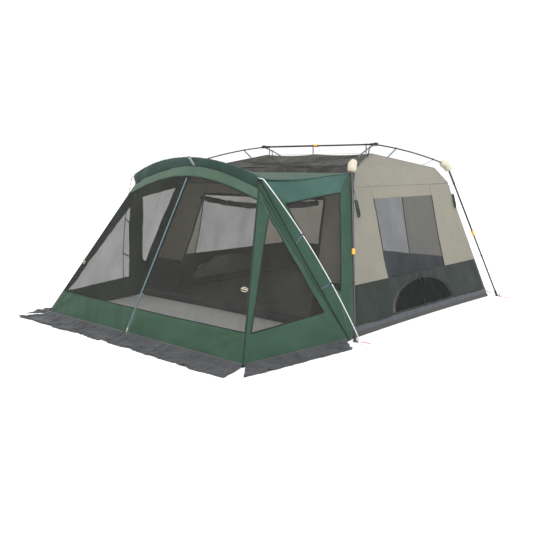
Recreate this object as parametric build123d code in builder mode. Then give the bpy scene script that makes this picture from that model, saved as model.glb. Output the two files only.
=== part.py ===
"""Instant-frame cabin tent with a screened porch, as separate pieces, in millimetres.

The layout is drawn about the centre of the cabin floor: +X is the tent's right side seen from the
porch, +Y is its back, +Z is up. Each piece moves back by CABIN_TO_ORIGIN as it is written, which
puts the origin under the middle of the whole tent.
"""

import math
import os

from build123d import *

# Overall layout
CABIN_TO_ORIGIN = 927.5
CLOTH = 3.0
MESH = 1.6
SEAM_GAP = 0.4
SIDES = ((1, "right"), (-1, "left"))
ENDS = ((-1, "front"), (1, "back"))

# Cabin walls: half sizes at the floor, and how far each wall leans in for each unit of height
FLOOR_HALF_WIDTH = 1906.0
FLOOR_HALF_DEPTH = 1678.0
SIDE_LEAN = 0.2576
END_LEAN = 0.327
TUB_HEIGHT = 116.0
SILL_HEIGHT = 555.0
HEADER_HEIGHT = 1500.0
EAVE_HEIGHT = 1650.0
WALL_TOP = EAVE_HEIGHT - CLOTH - 1.0

# Roof: a steep lower tier from the eave to a ring, then the slopes up to the ridge
RING_HALF_WIDTH = 1360.0
RING_HALF_DEPTH = 950.0
RING_HEIGHT = 1860.0
RIDGE_HALF_LENGTH = 943.0
RIDGE_HEIGHT = 2053.0

# Openings in the cabin walls
WINDOW_FRONT = -770.0
WINDOW_BACK = 630.0
BACK_WINDOW_HALF_WIDTH = 700.0
DOOR_HALF_WIDTH_TOP = 1080.0
DOOR_HALF_WIDTH_FOOT = 1250.0
HATCH_CENTRE = -50.0
HATCH_HALF_WIDTH = 720.0
HATCH_HEIGHT = 355.0
HATCH_BASE = 130.0
ROLL_RADIUS = 48.0
ROLL_SAG = 75.0

# Folding frame
LEG_FOOT = (1988.0, 1779.0, 30.0)
LEG_TOP = (1447.0, 1146.0, 1907.0)
HUB = (1013.0, 0.0, 2173.0)
UPPER_TUBE_RADIUS = 12.8
UPPER_TUBE_BORE = 11.3
LOWER_TUBE_RADIUS = 11.0
LOWER_TUBE_BORE = 9.6
ROOF_POLE_RADIUS = 9.0
ROOF_POLE_RISE = 30.0
COLLAR_SHARE = 0.482
COLLAR_RADIUS = 19.0
COLLAR_LENGTH = 64.0
BUTTON_RADIUS = 6.5
BUTTON_TRAVEL = 4.0
BUTTON_STAND = 5.0
FIT = 0.2
PAD_RADIUS = 46.0
PAD_REACH = 62.0
PAD_CLEARANCE = 1.0

# Porch: the hoop lies in a leaning plane; the front wall leans more at its corners than at its zip
HOOP_FOOT_Y = -1850.0
HOOP_LEAN = -0.29
HOOP_RADIUS = 6.0
HOOP_FOOT_X = 2120.0
HOOP_BEND = (1120.0, 1756.0)
HOOP_PEAK = 1980.0
FRONT_FOOT_Y = -3300.0
FRONT_LEAN = 0.4521
FRONT_CORNER_X = 1770.0
FRONT_TOP_X = 1100.0
FRONT_TOP_Z = 1650.0
EDGE_LEAN = 0.57
BAND_PEAK = 1772.0
BAND_END = 1530.0
BROW_PEAK = 1893.0
HEM_TOP = 290.0
ZIP_FOOT_X = -100.0
ZIP_TOP_X = 98.0
ZIP_TOP_Z = 1765.0
ZIP_TAPE_WIDTH = 14.0
PORCH_REAR_Y = -1200.0
PORCH_REAR_Z = 1800.0
PORCH_REAR_X = 1440.0
SKIRT_THICKNESS = 6.0


def write(builder, label):
    """Moves a finished piece onto the tent's origin, labels it and writes its STEP file."""
    piece = Pos(0, CABIN_TO_ORIGIN, 0) * builder.part
    piece.label = label
    export_step(piece, f"parts/{label}.step")


def plane_through(first, second, third):
    """The plane that three points lie on."""
    origin = Vector(*first)
    across = Vector(*second) - origin
    return Plane(origin=origin, x_dir=across, z_dir=across.cross(Vector(*third) - origin))


def panel(corners, direction, thickness=CLOTH, plane=None):
    """One flat sewn panel of the open part, stopping a hairline short of its seams."""
    plane = plane or plane_through(*corners[:3])
    local = [plane.to_local_coords(Vector(*corner)) for corner in corners]
    with BuildSketch(plane) as outline:
        with BuildLine():
            Polyline(*[(point.X, point.Y) for point in local], close=True)
        make_face()
        offset(amount=-SEAM_GAP, kind=Kind.INTERSECTION)
    extrude(outline.sketch, amount=thickness, dir=Vector(*direction))


def rod(start, end, radius, bore=0.0):
    """A straight rod or tube of the open part."""
    first = Vector(*start)
    along = Vector(*end) - first
    with BuildSketch(Plane(origin=first, z_dir=along)) as section:
        Circle(radius)
        if bore:
            Circle(bore, mode=Mode.SUBTRACT)
    extrude(section.sketch, amount=along.length)


def strap(start, end, width=20.0, thickness=1.6):
    """A flat webbing strap of the open part, from one point to another."""
    first = Vector(*start)
    along = Vector(*end) - first
    with BuildSketch(Plane(origin=first, z_dir=along)) as section:
        Rectangle(width, thickness)
    extrude(section.sketch, amount=along.length)


def clip(centre, along, tube_radius, mouth):
    """A C-shaped clip round a tube, open towards mouth, in the open part."""
    plane = Plane(origin=Vector(*centre), x_dir=Vector(*mouth), z_dir=Vector(*along))
    with BuildSketch(plane) as section:
        Circle(tube_radius + 4.0)
        Circle(tube_radius + 0.4, mode=Mode.SUBTRACT)
        with Locations((tube_radius + 2.0, 0)):
            Rectangle(8.0, tube_radius * 0.9, mode=Mode.SUBTRACT)
    extrude(section.sketch, amount=9.0, both=True)


def side_point(side, y, z):
    """A point on the outer face of a cabin side wall."""
    return (side * (FLOOR_HALF_WIDTH - SIDE_LEAN * z), y, z)


def end_point(end, x, z):
    """A point on the outer face of the cabin's front or back wall."""
    return (x, end * (FLOOR_HALF_DEPTH - END_LEAN * z), z)


def wall_corner(side, end, z):
    """The cabin's corner at a height."""
    return (side * (FLOOR_HALF_WIDTH - SIDE_LEAN * z), end * (FLOOR_HALF_DEPTH - END_LEAN * z), z)


def side_corner(side, end, z):
    """The cabin's corner at a height, less the cloth of the wall that it meets."""
    x, y, height = wall_corner(side, end, z)
    return (x, y - end * (CLOTH + SEAM_GAP), height)


def zip_x(z):
    """Where the porch door's zip runs at a height."""
    return ZIP_FOOT_X + (ZIP_TOP_X - ZIP_FOOT_X) * z / ZIP_TOP_Z


def front_point(side, share, z, from_zip=0.0, from_edge=0.0):
    """A point on the porch's front wall, at a share of the way from the zip to a corner edge."""
    edge = FRONT_CORNER_X - (FRONT_CORNER_X - FRONT_TOP_X) * z / FRONT_TOP_Z
    x = (zip_x(z) + side * from_zip) * (1 - share) + side * (edge - from_edge) * share
    lean = FRONT_LEAN + (EDGE_LEAN - FRONT_LEAN) * share**2
    return (x, FRONT_FOOT_Y + lean * z, z)


def front_edge(side, z):
    """A point on the porch's front corner edge."""
    return front_point(side, 1.0, z)


def arch_height(share, middle, end):
    """The height of an arched seam on the porch's front wall."""
    return middle + (end - middle) * share**2


def facet_strip(first, second, along):
    """A strip of flat facets between two rows of points, thickened by a vector, in the open part."""
    for a, b, c, d in zip(first, first[1:], second[1:], second):
        for corners in ((a, b, c), (a, c, d)):
            facet = Face(Wire.make_polygon([Vector(*corner) for corner in corners]))
            extrude(facet, amount=along.length, dir=along)


def leg_point(side, end, distance):
    """A point on a leg's axis, at a distance up from its foot."""
    foot = Vector(side * LEG_FOOT[0], end * LEG_FOOT[1], LEG_FOOT[2])
    top = Vector(side * LEG_TOP[0], end * LEG_TOP[1], LEG_TOP[2])
    return foot + (top - foot).normalized() * distance


def leg_out(side, end):
    """The direction square to a leg that points away from the tent."""
    along = (leg_point(side, end, 1.0) - leg_point(side, end, 0.0)).normalized()
    outward = Vector(side, end, 0)
    return (outward - along * outward.dot(along)).normalized()


LEG_LENGTH = (Vector(*LEG_TOP) - Vector(*LEG_FOOT)).length
COLLAR_AT = LEG_LENGTH * COLLAR_SHARE
LEGS = [(side, end, f"{end_word}_{side_word}") for end, end_word in ENDS for side, side_word in SIDES]
HOOP_PLANE = Plane(origin=(0, HOOP_FOOT_Y, 0), x_dir=(1, 0, 0), z_dir=(0, -1, HOOP_LEAN))
FRONT_PLANE = Plane(origin=(0, FRONT_FOOT_Y, 0), x_dir=(1, 0, 0), z_dir=(0, -1, FRONT_LEAN))
HOOP_SLOPE = math.hypot(1.0, HOOP_LEAN)
FRONT_SLOPE = math.hypot(1.0, FRONT_LEAN)

os.makedirs("parts", exist_ok=True)

# ---------------------------------------------------------------- cabin floor and lower walls

with BuildPart() as groundsheet:
    with BuildSketch():
        Rectangle(2 * FLOOR_HALF_WIDTH, 2 * FLOOR_HALF_DEPTH)
    extrude(amount=CLOTH)
    for side, _ in SIDES:
        low = CLOTH + SEAM_GAP
        panel(
            [
                side_corner(side, -1, low),
                side_corner(side, 1, low),
                side_corner(side, 1, TUB_HEIGHT),
                side_corner(side, -1, TUB_HEIGHT),
            ],
            (-side, 0, 0),
        )
    for end, _ in ENDS:
        panel(
            [
                wall_corner(-1, end, low),
                wall_corner(1, end, low),
                wall_corner(1, end, TUB_HEIGHT),
                wall_corner(-1, end, TUB_HEIGHT),
            ],
            (0, -end, 0),
        )
write(groundsheet, "groundsheet")


def hatch_outline(plane, grow):
    """The half-moon hatch's outline on a side wall, grown or shrunk a little."""
    slope = math.hypot(1.0, SIDE_LEAN)
    base = -grow
    with BuildSketch(plane) as outline:
        with BuildLine():
            arc = EllipticalCenterArc(
                (0, base),
                HATCH_HALF_WIDTH + grow,
                HATCH_HEIGHT * slope + 2 * grow,
                start_angle=0,
                arc_size=180,
            )
            Line(arc @ 1, arc @ 0)
        make_face()
    return outline.sketch


for side, side_word in SIDES:
    hatch_plane = Plane(
        origin=side_point(side, HATCH_CENTRE, HATCH_BASE),
        x_dir=(0, side, 0),
        z_dir=(side, 0, SIDE_LEAN),
    )
    with BuildPart() as lower_wall:
        panel(
            [
                side_corner(side, -1, TUB_HEIGHT),
                side_corner(side, 1, TUB_HEIGHT),
                side_corner(side, 1, SILL_HEIGHT),
                side_corner(side, -1, SILL_HEIGHT),
            ],
            (-side, 0, 0),
        )
        extrude(hatch_outline(hatch_plane, 2.0), amount=9.0, both=True, mode=Mode.SUBTRACT)
    write(lower_wall, f"{side_word}_lower_wall")

    with BuildPart() as hatch:
        extrude(hatch_outline(hatch_plane, 0.0), amount=-CLOTH)
    write(hatch, f"{side_word}_hatch")

with BuildPart() as back_lower_wall:
    panel(
        [
            wall_corner(-1, 1, TUB_HEIGHT),
            wall_corner(1, 1, TUB_HEIGHT),
            wall_corner(1, 1, SILL_HEIGHT),
            wall_corner(-1, 1, SILL_HEIGHT),
        ],
        (0, -1, 0),
    )
write(back_lower_wall, "back_lower_wall")


def door_edge(side, z):
    """A point on the edge of the cabin doorway at a height."""
    spread = DOOR_HALF_WIDTH_FOOT - DOOR_HALF_WIDTH_TOP
    share = (z - TUB_HEIGHT) / (HEADER_HEIGHT - TUB_HEIGHT)
    return end_point(-1, side * (DOOR_HALF_WIDTH_FOOT - spread * share), z)


with BuildPart() as front_lower_wall:
    for side, _ in SIDES:
        panel(
            [
                door_edge(side, TUB_HEIGHT),
                wall_corner(side, -1, TUB_HEIGHT),
                wall_corner(side, -1, SILL_HEIGHT),
                door_edge(side, SILL_HEIGHT),
            ],
            (0, 1, 0),
        )
write(front_lower_wall, "front_lower_wall")

# ---------------------------------------------------------------- cabin upper walls and windows

for side, side_word in SIDES:
    with BuildPart() as upper_wall:
        for end, seam in ((-1, WINDOW_FRONT), (1, WINDOW_BACK)):
            panel(
                [
                    side_point(side, seam, SILL_HEIGHT),
                    side_corner(side, end, SILL_HEIGHT),
                    side_corner(side, end, WALL_TOP),
                    side_point(side, seam, WALL_TOP),
                ],
                (-side, 0, 0),
            )
        panel(
            [
                side_point(side, WINDOW_FRONT, HEADER_HEIGHT),
                side_point(side, WINDOW_BACK, HEADER_HEIGHT),
                side_point(side, WINDOW_BACK, WALL_TOP),
                side_point(side, WINDOW_FRONT, WALL_TOP),
            ],
            (-side, 0, 0),
        )
    write(upper_wall, f"{side_word}_upper_wall")



def opening_edge(side, end, z):
    """The side of the doorway at the front, or of the window at the back."""
    return door_edge(side, z) if end < 0 else end_point(1, side * BACK_WINDOW_HALF_WIDTH, z)


for end, end_word in ENDS:
    with BuildPart() as end_wall:
        for side, _ in SIDES:
            low = opening_edge(side, end, SILL_HEIGHT)
            high = opening_edge(side, end, HEADER_HEIGHT)
            panel(
                [
                    low,
                    wall_corner(side, end, SILL_HEIGHT),
                    wall_corner(side, end, WALL_TOP),
                    end_point(end, high[0], WALL_TOP),
                    high,
                ],
                (0, -end, 0),
            )
        half_header = DOOR_HALF_WIDTH_TOP if end < 0 else BACK_WINDOW_HALF_WIDTH
        panel(
            [
                end_point(end, -half_header, HEADER_HEIGHT),
                end_point(end, half_header, HEADER_HEIGHT),
                end_point(end, half_header, WALL_TOP),
                end_point(end, -half_header, WALL_TOP),
            ],
            (0, -end, 0),
        )
    write(end_wall, f"{end_word}_upper_wall")

with BuildPart() as cabin_windows:
    for side, _ in SIDES:
        panel(
            [
                side_point(side, WINDOW_FRONT, SILL_HEIGHT),
                side_point(side, WINDOW_BACK, SILL_HEIGHT),
                side_point(side, WINDOW_BACK, HEADER_HEIGHT),
                side_point(side, WINDOW_FRONT, HEADER_HEIGHT),
            ],
            (-side, 0, 0),
            MESH,
        )
    panel(
        [
            end_point(1, -BACK_WINDOW_HALF_WIDTH, SILL_HEIGHT),
            end_point(1, BACK_WINDOW_HALF_WIDTH, SILL_HEIGHT),
            end_point(1, BACK_WINDOW_HALF_WIDTH, HEADER_HEIGHT),
            end_point(1, -BACK_WINDOW_HALF_WIDTH, HEADER_HEIGHT),
        ],
        (0, -1, 0),
        MESH,
    )
write(cabin_windows, "cabin_windows")

# The rolled cabin door hangs in a shallow sag outside the header, tied up at both ends.
with BuildPart() as door_roll:
    roll_y = end_point(-1, 0, HEADER_HEIGHT)[1] - ROLL_RADIUS - 12.0
    roll_z = HEADER_HEIGHT - 60.0
    roll_end = DOOR_HALF_WIDTH_TOP - 30.0
    with BuildLine():
        roll_line = ThreePointArc(
            (-roll_end, roll_y, roll_z),
            (0, roll_y - 18.0, roll_z - ROLL_SAG),
            (roll_end, roll_y, roll_z),
        )
    with BuildSketch(Plane(origin=roll_line @ 0, z_dir=roll_line % 0)):
        Ellipse(ROLL_RADIUS, ROLL_RADIUS * 0.75)
    sweep()
write(door_roll, "door_roll")

# ---------------------------------------------------------------- cabin roof


def eave(side, end):
    """The cabin's corner at the eave seam."""
    return wall_corner(side, end, EAVE_HEIGHT)


def ring(side, end):
    """The roof's corner where the steep tier meets the slopes."""
    return (side * RING_HALF_WIDTH, end * RING_HALF_DEPTH, RING_HEIGHT)


def ridge(side):
    """The end of the fabric ridge."""
    return (side * RIDGE_HALF_LENGTH, 0, RIDGE_HEIGHT)


for end, label in ((-1, "roof_front_mesh"), (1, "roof_back_panel")):
    with BuildPart() as slope:
        panel([eave(-1, end), eave(1, end), ring(1, end), ring(-1, end)], (0, 0, -1))
        panel([ring(-1, end), ring(1, end), ridge(1), ridge(-1)], (0, 0, -1))
    write(slope, label)

with BuildPart() as roof_gables:
    for side, _ in SIDES:
        panel([eave(side, -1), eave(side, 1), ring(side, 1), ring(side, -1)], (0, 0, -1))
        panel([ring(side, -1), ring(side, 1), ridge(side)], (0, 0, -1))
write(roof_gables, "roof_gables")

# ---------------------------------------------------------------- porch roof, brow and front band


def arch_band(plane, half_width, spring, peak, lift, thickness):
    """A thin arched band on a leaning plane, above a springing height, lifted off its line."""
    inner = [(-half_width, spring + lift), (0, peak + lift), (half_width, spring + lift)]
    outer = [(x, y + thickness) for x, y in inner]
    with BuildSketch(plane) as band:
        with BuildLine():
            low = ThreePointArc(*inner)
            high = ThreePointArc(*outer)
            Line(low @ 0, high @ 0)
            Line(low @ 1, high @ 1)
        make_face()
    return band.sketch.faces()[0]


FABRIC_LIFT = HOOP_RADIUS + 2.0
HOOP_SPRING = HOOP_BEND[1] * HOOP_SLOPE
HOOP_CROWN = HOOP_PEAK * HOOP_SLOPE

with BuildPart() as porch_roof:
    front_arch = arch_band(
        HOOP_PLANE.offset(-1.0), HOOP_BEND[0], HOOP_SPRING, HOOP_CROWN, FABRIC_LIFT, CLOTH
    )
    rear_line = arch_band(
        Plane.XZ.offset(-PORCH_REAR_Y), PORCH_REAR_X, PORCH_REAR_Z, PORCH_REAR_Z + 4.0, 0.0, CLOTH
    )
    eave_line = arch_band(Plane.XZ.offset(1012.0), 1390.0, 1803.0, 1807.0, 0.0, CLOTH)
    loft([front_arch, rear_line, eave_line], ruled=True)
write(porch_roof, "porch_roof")

BROW_ENDS = 0.985
FRONT_SHARES = [index / 6 for index in range(7)]


def front_row(middle, end, reach):
    """Points along an arched seam across the whole of the porch's front wall."""
    left = [front_point(-1, share * reach, arch_height(share, middle, end)) for share in FRONT_SHARES]
    right = [front_point(1, share * reach, arch_height(share, middle, end)) for share in FRONT_SHARES]
    return left[:0:-1] + right


hoop_crest = ThreePointArc(
    (-HOOP_BEND[0] * BROW_ENDS, HOOP_SPRING + 4.0),
    (0, HOOP_CROWN + 4.0),
    (HOOP_BEND[0] * BROW_ENDS, HOOP_SPRING + 4.0),
)
brow_plane = HOOP_PLANE.offset(9.0)
brow_seam = front_row(BROW_PEAK + 1.0, FRONT_TOP_Z + 1.0, BROW_ENDS)
last = len(brow_seam) - 1
brow_crest = [tuple(brow_plane.from_local_coords(hoop_crest @ (index / last))) for index in range(last + 1)]

with BuildPart() as porch_brow:
    facet_strip(brow_seam, brow_crest, Vector(0, -CLOTH * 0.7, CLOTH * 0.7))
write(porch_brow, "porch_brow")

with BuildPart() as porch_front_band:
    facet_strip(
        front_row(BAND_PEAK, BAND_END, BROW_ENDS),
        front_row(BROW_PEAK, FRONT_TOP_Z, BROW_ENDS),
        Vector(0, CLOTH, 0),
    )
write(porch_front_band, "porch_front_band")

# ---------------------------------------------------------------- porch doors

HINGE_CLEARANCE = 9.0
BAND_CLEARANCE = 4.0
FREE_EDGE = ZIP_TAPE_WIDTH + 1.0


def door_row(side, heights):
    """Points across one half of the porch door, from beside the zip to its hinge side."""
    return [
        front_point(side, share, z, FREE_EDGE, HINGE_CLEARANCE)
        for share, z in zip(FRONT_SHARES, heights)
    ]


def zip_side(side, z, away):
    """A point beside the porch door's zip."""
    return front_point(side, 0.0, z, away)


for side, side_word in SIDES:
    columns = len(FRONT_SHARES)
    top = [arch_height(share, BAND_PEAK, BAND_END) - BAND_CLEARANCE for share in FRONT_SHARES]
    with BuildPart() as door_mesh:
        facet_strip(
            door_row(side, [HEM_TOP + SEAM_GAP] * columns),
            door_row(side, top),
            Vector(0, MESH, 0),
        )
    write(door_mesh, f"{side_word}_door_mesh")

    with BuildPart() as door_hem:
        facet_strip(
            door_row(side, [9.0] * columns),
            door_row(side, [HEM_TOP - SEAM_GAP] * columns),
            Vector(0, CLOTH, 0),
        )
    write(door_hem, f"{side_word}_door_hem")

    with BuildPart() as zip_tape:
        panel(
            [
                zip_side(side, 9.0, 0.6),
                zip_side(side, 9.0, FREE_EDGE),
                zip_side(side, ZIP_TOP_Z - BAND_CLEARANCE, FREE_EDGE),
                zip_side(side, ZIP_TOP_Z - BAND_CLEARANCE, 0.6),
            ],
            (0, 1, 0),
            MESH,
        )
    write(zip_tape, f"{side_word}_zip_tape")

SLIDER_AT = 70.0
SLIDER_X = zip_x(SLIDER_AT) + 8.0

with BuildPart() as zip_slider:
    with BuildSketch(FRONT_PLANE.offset(0.6)):
        with Locations((SLIDER_X, SLIDER_AT * FRONT_SLOPE)):
            RectangleRounded(13.0, 22.0, 5.0)
    extrude(amount=7.0)
    with BuildSketch(FRONT_PLANE.offset(3.0)):
        with Locations((SLIDER_X, SLIDER_AT * FRONT_SLOPE - 26.0)):
            SlotOverall(46.0, 9.0, rotation=90)
    extrude(amount=3.0)
write(zip_slider, "zip_slider")

for side, side_word in SIDES:
    with BuildPart() as door_toggle:
        x, y, z = front_edge(side, 660.0)
        rod((x - side * 26.0, y - 15.0, z + 4.0), (x - side * 92.0, y - 22.0, z + 14.0), 5.0)
    write(door_toggle, f"{side_word}_door_toggle")

# ---------------------------------------------------------------- porch sides

for side, side_word in SIDES:
    bend = (side * 1105.0, -2345.0, 1732.0)
    foot = (side * 1930.0, -1800.0, 2.0)
    rear = (side * 1436.0, -1212.0, 1786.0)
    corner = front_edge(side, 2.0)
    shoulder = front_edge(side, 1644.0)
    front_mesh = [
        (side * 1666.0, -3066.9, 276.2),
        (side * 1752.7, -2029.5, 328.8),
        (side * 1233.2, -2353.8, 1366.2),
    ]
    rear_mesh = [
        (side * 1291.0, -2122.0, 1487.0),
        (side * 1466.0, -1381.0, 1588.0),
        (side * 1756.0, -1736.0, 522.0),
        (side * 1722.0, -1807.0, 559.0),
    ]
    inward = (-side, 0, 0)
    front_plane = plane_through(corner, foot, shoulder)
    rear_plane = plane_through(bend, foot, rear)
    with BuildPart() as side_panels:
        for corners in (
            [corner, foot, front_mesh[1], front_mesh[0]],
            [corner, front_mesh[0], front_mesh[2], shoulder],
            [foot, shoulder, front_mesh[2], front_mesh[1]],
        ):
            panel(corners, inward, CLOTH, front_plane)
        panel([bend, shoulder, foot], inward)
        for corners in (
            [bend, rear, rear_mesh[1], rear_mesh[0]],
            [rear, foot, rear_mesh[2], rear_mesh[1]],
            [foot, rear_mesh[3], rear_mesh[2]],
            [bend, rear_mesh[0], rear_mesh[3], foot],
        ):
            panel(corners, inward, CLOTH, rear_plane)
    write(side_panels, f"{side_word}_side_panels")

    with BuildPart() as side_meshes:
        panel(front_mesh, inward, MESH, front_plane)
        panel(rear_mesh, inward, MESH, rear_plane)
    write(side_meshes, f"{side_word}_side_meshes")

with BuildPart() as porch_skirts:
    outlines = [
        [(ZIP_FOOT_X + 6, -3306), (1762, -3306), (1868, -3664), (ZIP_FOOT_X + 6, -3640)],
        [(ZIP_FOOT_X - 6, -3306), (-1762, -3306), (-1868, -3664), (ZIP_FOOT_X - 6, -3640)],
        [(1784, -3280), (1936, -1860), (2180, -2070), (2010, -3520)],
        [(-1784, -3280), (-1936, -1860), (-2180, -2070), (-2010, -3520)],
    ]
    for outline in outlines:
        with BuildSketch():
            with BuildLine():
                Polyline(*outline, close=True)
            make_face()
    extrude(amount=SKIRT_THICKNESS)
write(porch_skirts, "porch_skirts")

# ---------------------------------------------------------------- porch hoop

with BuildPart() as porch_hoop:
    with BuildLine(HOOP_PLANE) as hoop_line:
        leg_top = (1180.0, 1806.0)
        right_leg = ThreePointArc((HOOP_FOOT_X, 24.0), (1722.0, 955.0), leg_top)
        right_bend = TangentArc(right_leg @ 1, (HOOP_BEND[0], HOOP_SPRING), tangent=right_leg % 1)
        arch = ThreePointArc(
            (HOOP_BEND[0], HOOP_SPRING), (0, HOOP_CROWN), (-HOOP_BEND[0], HOOP_SPRING)
        )
        mirror(right_leg, about=Plane.YZ)
        mirror(right_bend, about=Plane.YZ)
    with BuildSketch(Plane(origin=right_leg @ 0, z_dir=right_leg % 0)):
        Circle(HOOP_RADIUS)
    sweep(transition=Transition.ROUND)
    for side, _ in SIDES:
        rod((side * HOOP_FOOT_X, HOOP_FOOT_Y - 7.0, 0), (side * HOOP_FOOT_X, HOOP_FOOT_Y - 7.0, 34.0), 9.0)
write(porch_hoop, "porch_hoop")

# ---------------------------------------------------------------- folding frame

for side, end, label in LEGS:
    with BuildPart() as lower_leg:
        rod(
            leg_point(side, end, 14.0),
            leg_point(side, end, COLLAR_AT + 150.0),
            LOWER_TUBE_RADIUS,
            LOWER_TUBE_BORE,
        )
    write(lower_leg, f"{label}_lower_leg")

    with BuildPart() as leg_foot:
        rod(leg_point(side, end, -40.0), leg_point(side, end, 52.0), 16.0)
        with BuildSketch(Plane.XY):
            with Locations((side * (LEG_FOOT[0] + 8.0), end * (LEG_FOOT[1] + 9.0))):
                Circle(21.0)
        extrude(amount=12.0)
        hook = Vector(side * (LEG_FOOT[0] + 36.0), end * (LEG_FOOT[1] + 12.0), 0)
        with BuildSketch(Plane.XY):
            with Locations((hook.X, hook.Y)):
                Rectangle(34.0, 10.0)
        extrude(amount=8.0)
        rod((hook.X + side * 10.0, hook.Y, 2.0), (hook.X + side * 10.0, hook.Y, 46.0), 4.5)
        split(bisect_by=Plane.XY, keep=Keep.TOP)
        along = leg_point(side, end, 1) - leg_point(side, end, 0)
        with BuildSketch(Plane(origin=leg_point(side, end, 13.0), z_dir=along)):
            Circle(LOWER_TUBE_RADIUS + FIT)
        extrude(amount=60.0, mode=Mode.SUBTRACT)
    write(leg_foot, f"{label}_foot")

with BuildPart() as upper_legs:
    for side, end, _ in LEGS:
        rod(
            leg_point(side, end, COLLAR_AT - 20.0),
            leg_point(side, end, LEG_LENGTH - 26.0),
            UPPER_TUBE_RADIUS,
            UPPER_TUBE_BORE,
        )
write(upper_legs, "upper_legs")


def collar(centre, along, out):
    """A lock collar with the pocket for its button, in the open part."""
    half = COLLAR_LENGTH / 2
    plane = Plane(origin=centre - along * half, x_dir=out, z_dir=along)
    with BuildSketch(plane) as section:
        Circle(COLLAR_RADIUS)
        Circle(UPPER_TUBE_RADIUS + FIT, mode=Mode.SUBTRACT)
    extrude(section.sketch, amount=COLLAR_LENGTH)
    with BuildSketch(Plane(origin=centre, x_dir=along, z_dir=out)) as pocket:
        Circle(BUTTON_RADIUS + FIT)
    extrude(pocket.sketch, amount=2 * COLLAR_RADIUS, mode=Mode.SUBTRACT)


def button(centre, along, out):
    """A round push button standing out of a collar, in the open part."""
    base = COLLAR_RADIUS + BUTTON_STAND
    depth = BUTTON_STAND + 1.0
    plane = Plane(origin=centre + out * (base - depth), x_dir=along, z_dir=out)
    with BuildSketch(plane) as face:
        Circle(BUTTON_RADIUS)
    extrude(face.sketch, amount=depth)


with BuildPart() as lock_collars:
    for side, end, _ in LEGS:
        along = (leg_point(side, end, 1) - leg_point(side, end, 0)).normalized()
        collar(leg_point(side, end, COLLAR_AT), along, leg_out(side, end))
    collar(Vector(0, 0, HUB[2]), Vector(1, 0, 0), Vector(0, -1, 0))
write(lock_collars, "lock_collars")

for side, end, label in LEGS:
    with BuildPart() as lock_button:
        along = (leg_point(side, end, 1) - leg_point(side, end, 0)).normalized()
        button(leg_point(side, end, COLLAR_AT), along, leg_out(side, end))
        outward = Axis(origin=(0, 0, 0), direction=leg_out(side, end))
        fillet(lock_button.faces().sort_by(outward)[-1].edges(), 1.5)
    write(lock_button, f"{label}_button")

with BuildPart() as ridge_button:
    button(Vector(0, 0, HUB[2]), Vector(1, 0, 0), Vector(0, -1, 0))
    fillet(ridge_button.faces().sort_by(Axis.Y)[0].edges(), 1.5)
write(ridge_button, "ridge_button")

HUB_RADIUS = 34.0
SOCKET = 60.0

with BuildPart() as ridge_outer_tube:
    rod((-HUB[0] + HUB_RADIUS + 2, 0, HUB[2]), (24.0, 0, HUB[2]), UPPER_TUBE_RADIUS, UPPER_TUBE_BORE)
write(ridge_outer_tube, "ridge_outer_tube")

with BuildPart() as ridge_inner_tube:
    rod((-180.0, 0, HUB[2]), (HUB[0] - HUB_RADIUS - 2, 0, HUB[2]), LOWER_TUBE_RADIUS, LOWER_TUBE_BORE)
write(ridge_inner_tube, "ridge_inner_tube")


def roof_pole_ends(side, end):
    """The two ends of a roof pole, clear of the hub and the knuckle, and the point of its bulge."""
    hub = Vector(side * HUB[0], 0, HUB[2])
    top = leg_point(side, end, LEG_LENGTH)
    along = (top - hub).normalized()
    middle = (hub + top) * 0.5 + Vector(0, 0, ROOF_POLE_RISE)
    return hub + along * (HUB_RADIUS + 2), middle, top - along * 28.0


roof_arcs = {}

with BuildPart() as roof_poles:
    for side, end, _ in LEGS:
        first, middle, last = roof_pole_ends(side, end)
        with BuildLine():
            pole_line = ThreePointArc(first, middle, last)
        with BuildSketch(Plane(origin=pole_line @ 0, z_dir=pole_line % 0)):
            Circle(ROOF_POLE_RADIUS)
        sweep()
        roof_arcs[side, end] = pole_line
write(roof_poles, "roof_poles")

with BuildPart() as roof_hubs:
    for side, _ in SIDES:
        with BuildSketch(Plane.XY.offset(HUB[2] - 20.0)):
            with Locations((side * HUB[0], 0)):
                Circle(HUB_RADIUS)
        extrude(amount=40.0)
        inner = -side
        with BuildSketch(Plane(origin=(side * HUB[0], 0, HUB[2]), z_dir=(inner, 0, 0))):
            Circle(UPPER_TUBE_RADIUS + 4.0)
        extrude(amount=HUB_RADIUS + SOCKET)
        bore = UPPER_TUBE_RADIUS if side < 0 else LOWER_TUBE_RADIUS
        mouth = (side * (HUB[0] - HUB_RADIUS - 1.0), 0, HUB[2])
        with BuildSketch(Plane(origin=mouth, z_dir=(inner, 0, 0))):
            Circle(bore + FIT)
        extrude(amount=HUB_RADIUS + SOCKET, mode=Mode.SUBTRACT)
        with BuildSketch(Plane.XY.offset(HUB[2] + 20.0)):
            with Locations((side * HUB[0], 0)):
                RegularPolygon(10.0, 6)
        extrude(amount=7.0)
write(roof_hubs, "roof_hubs")

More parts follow.
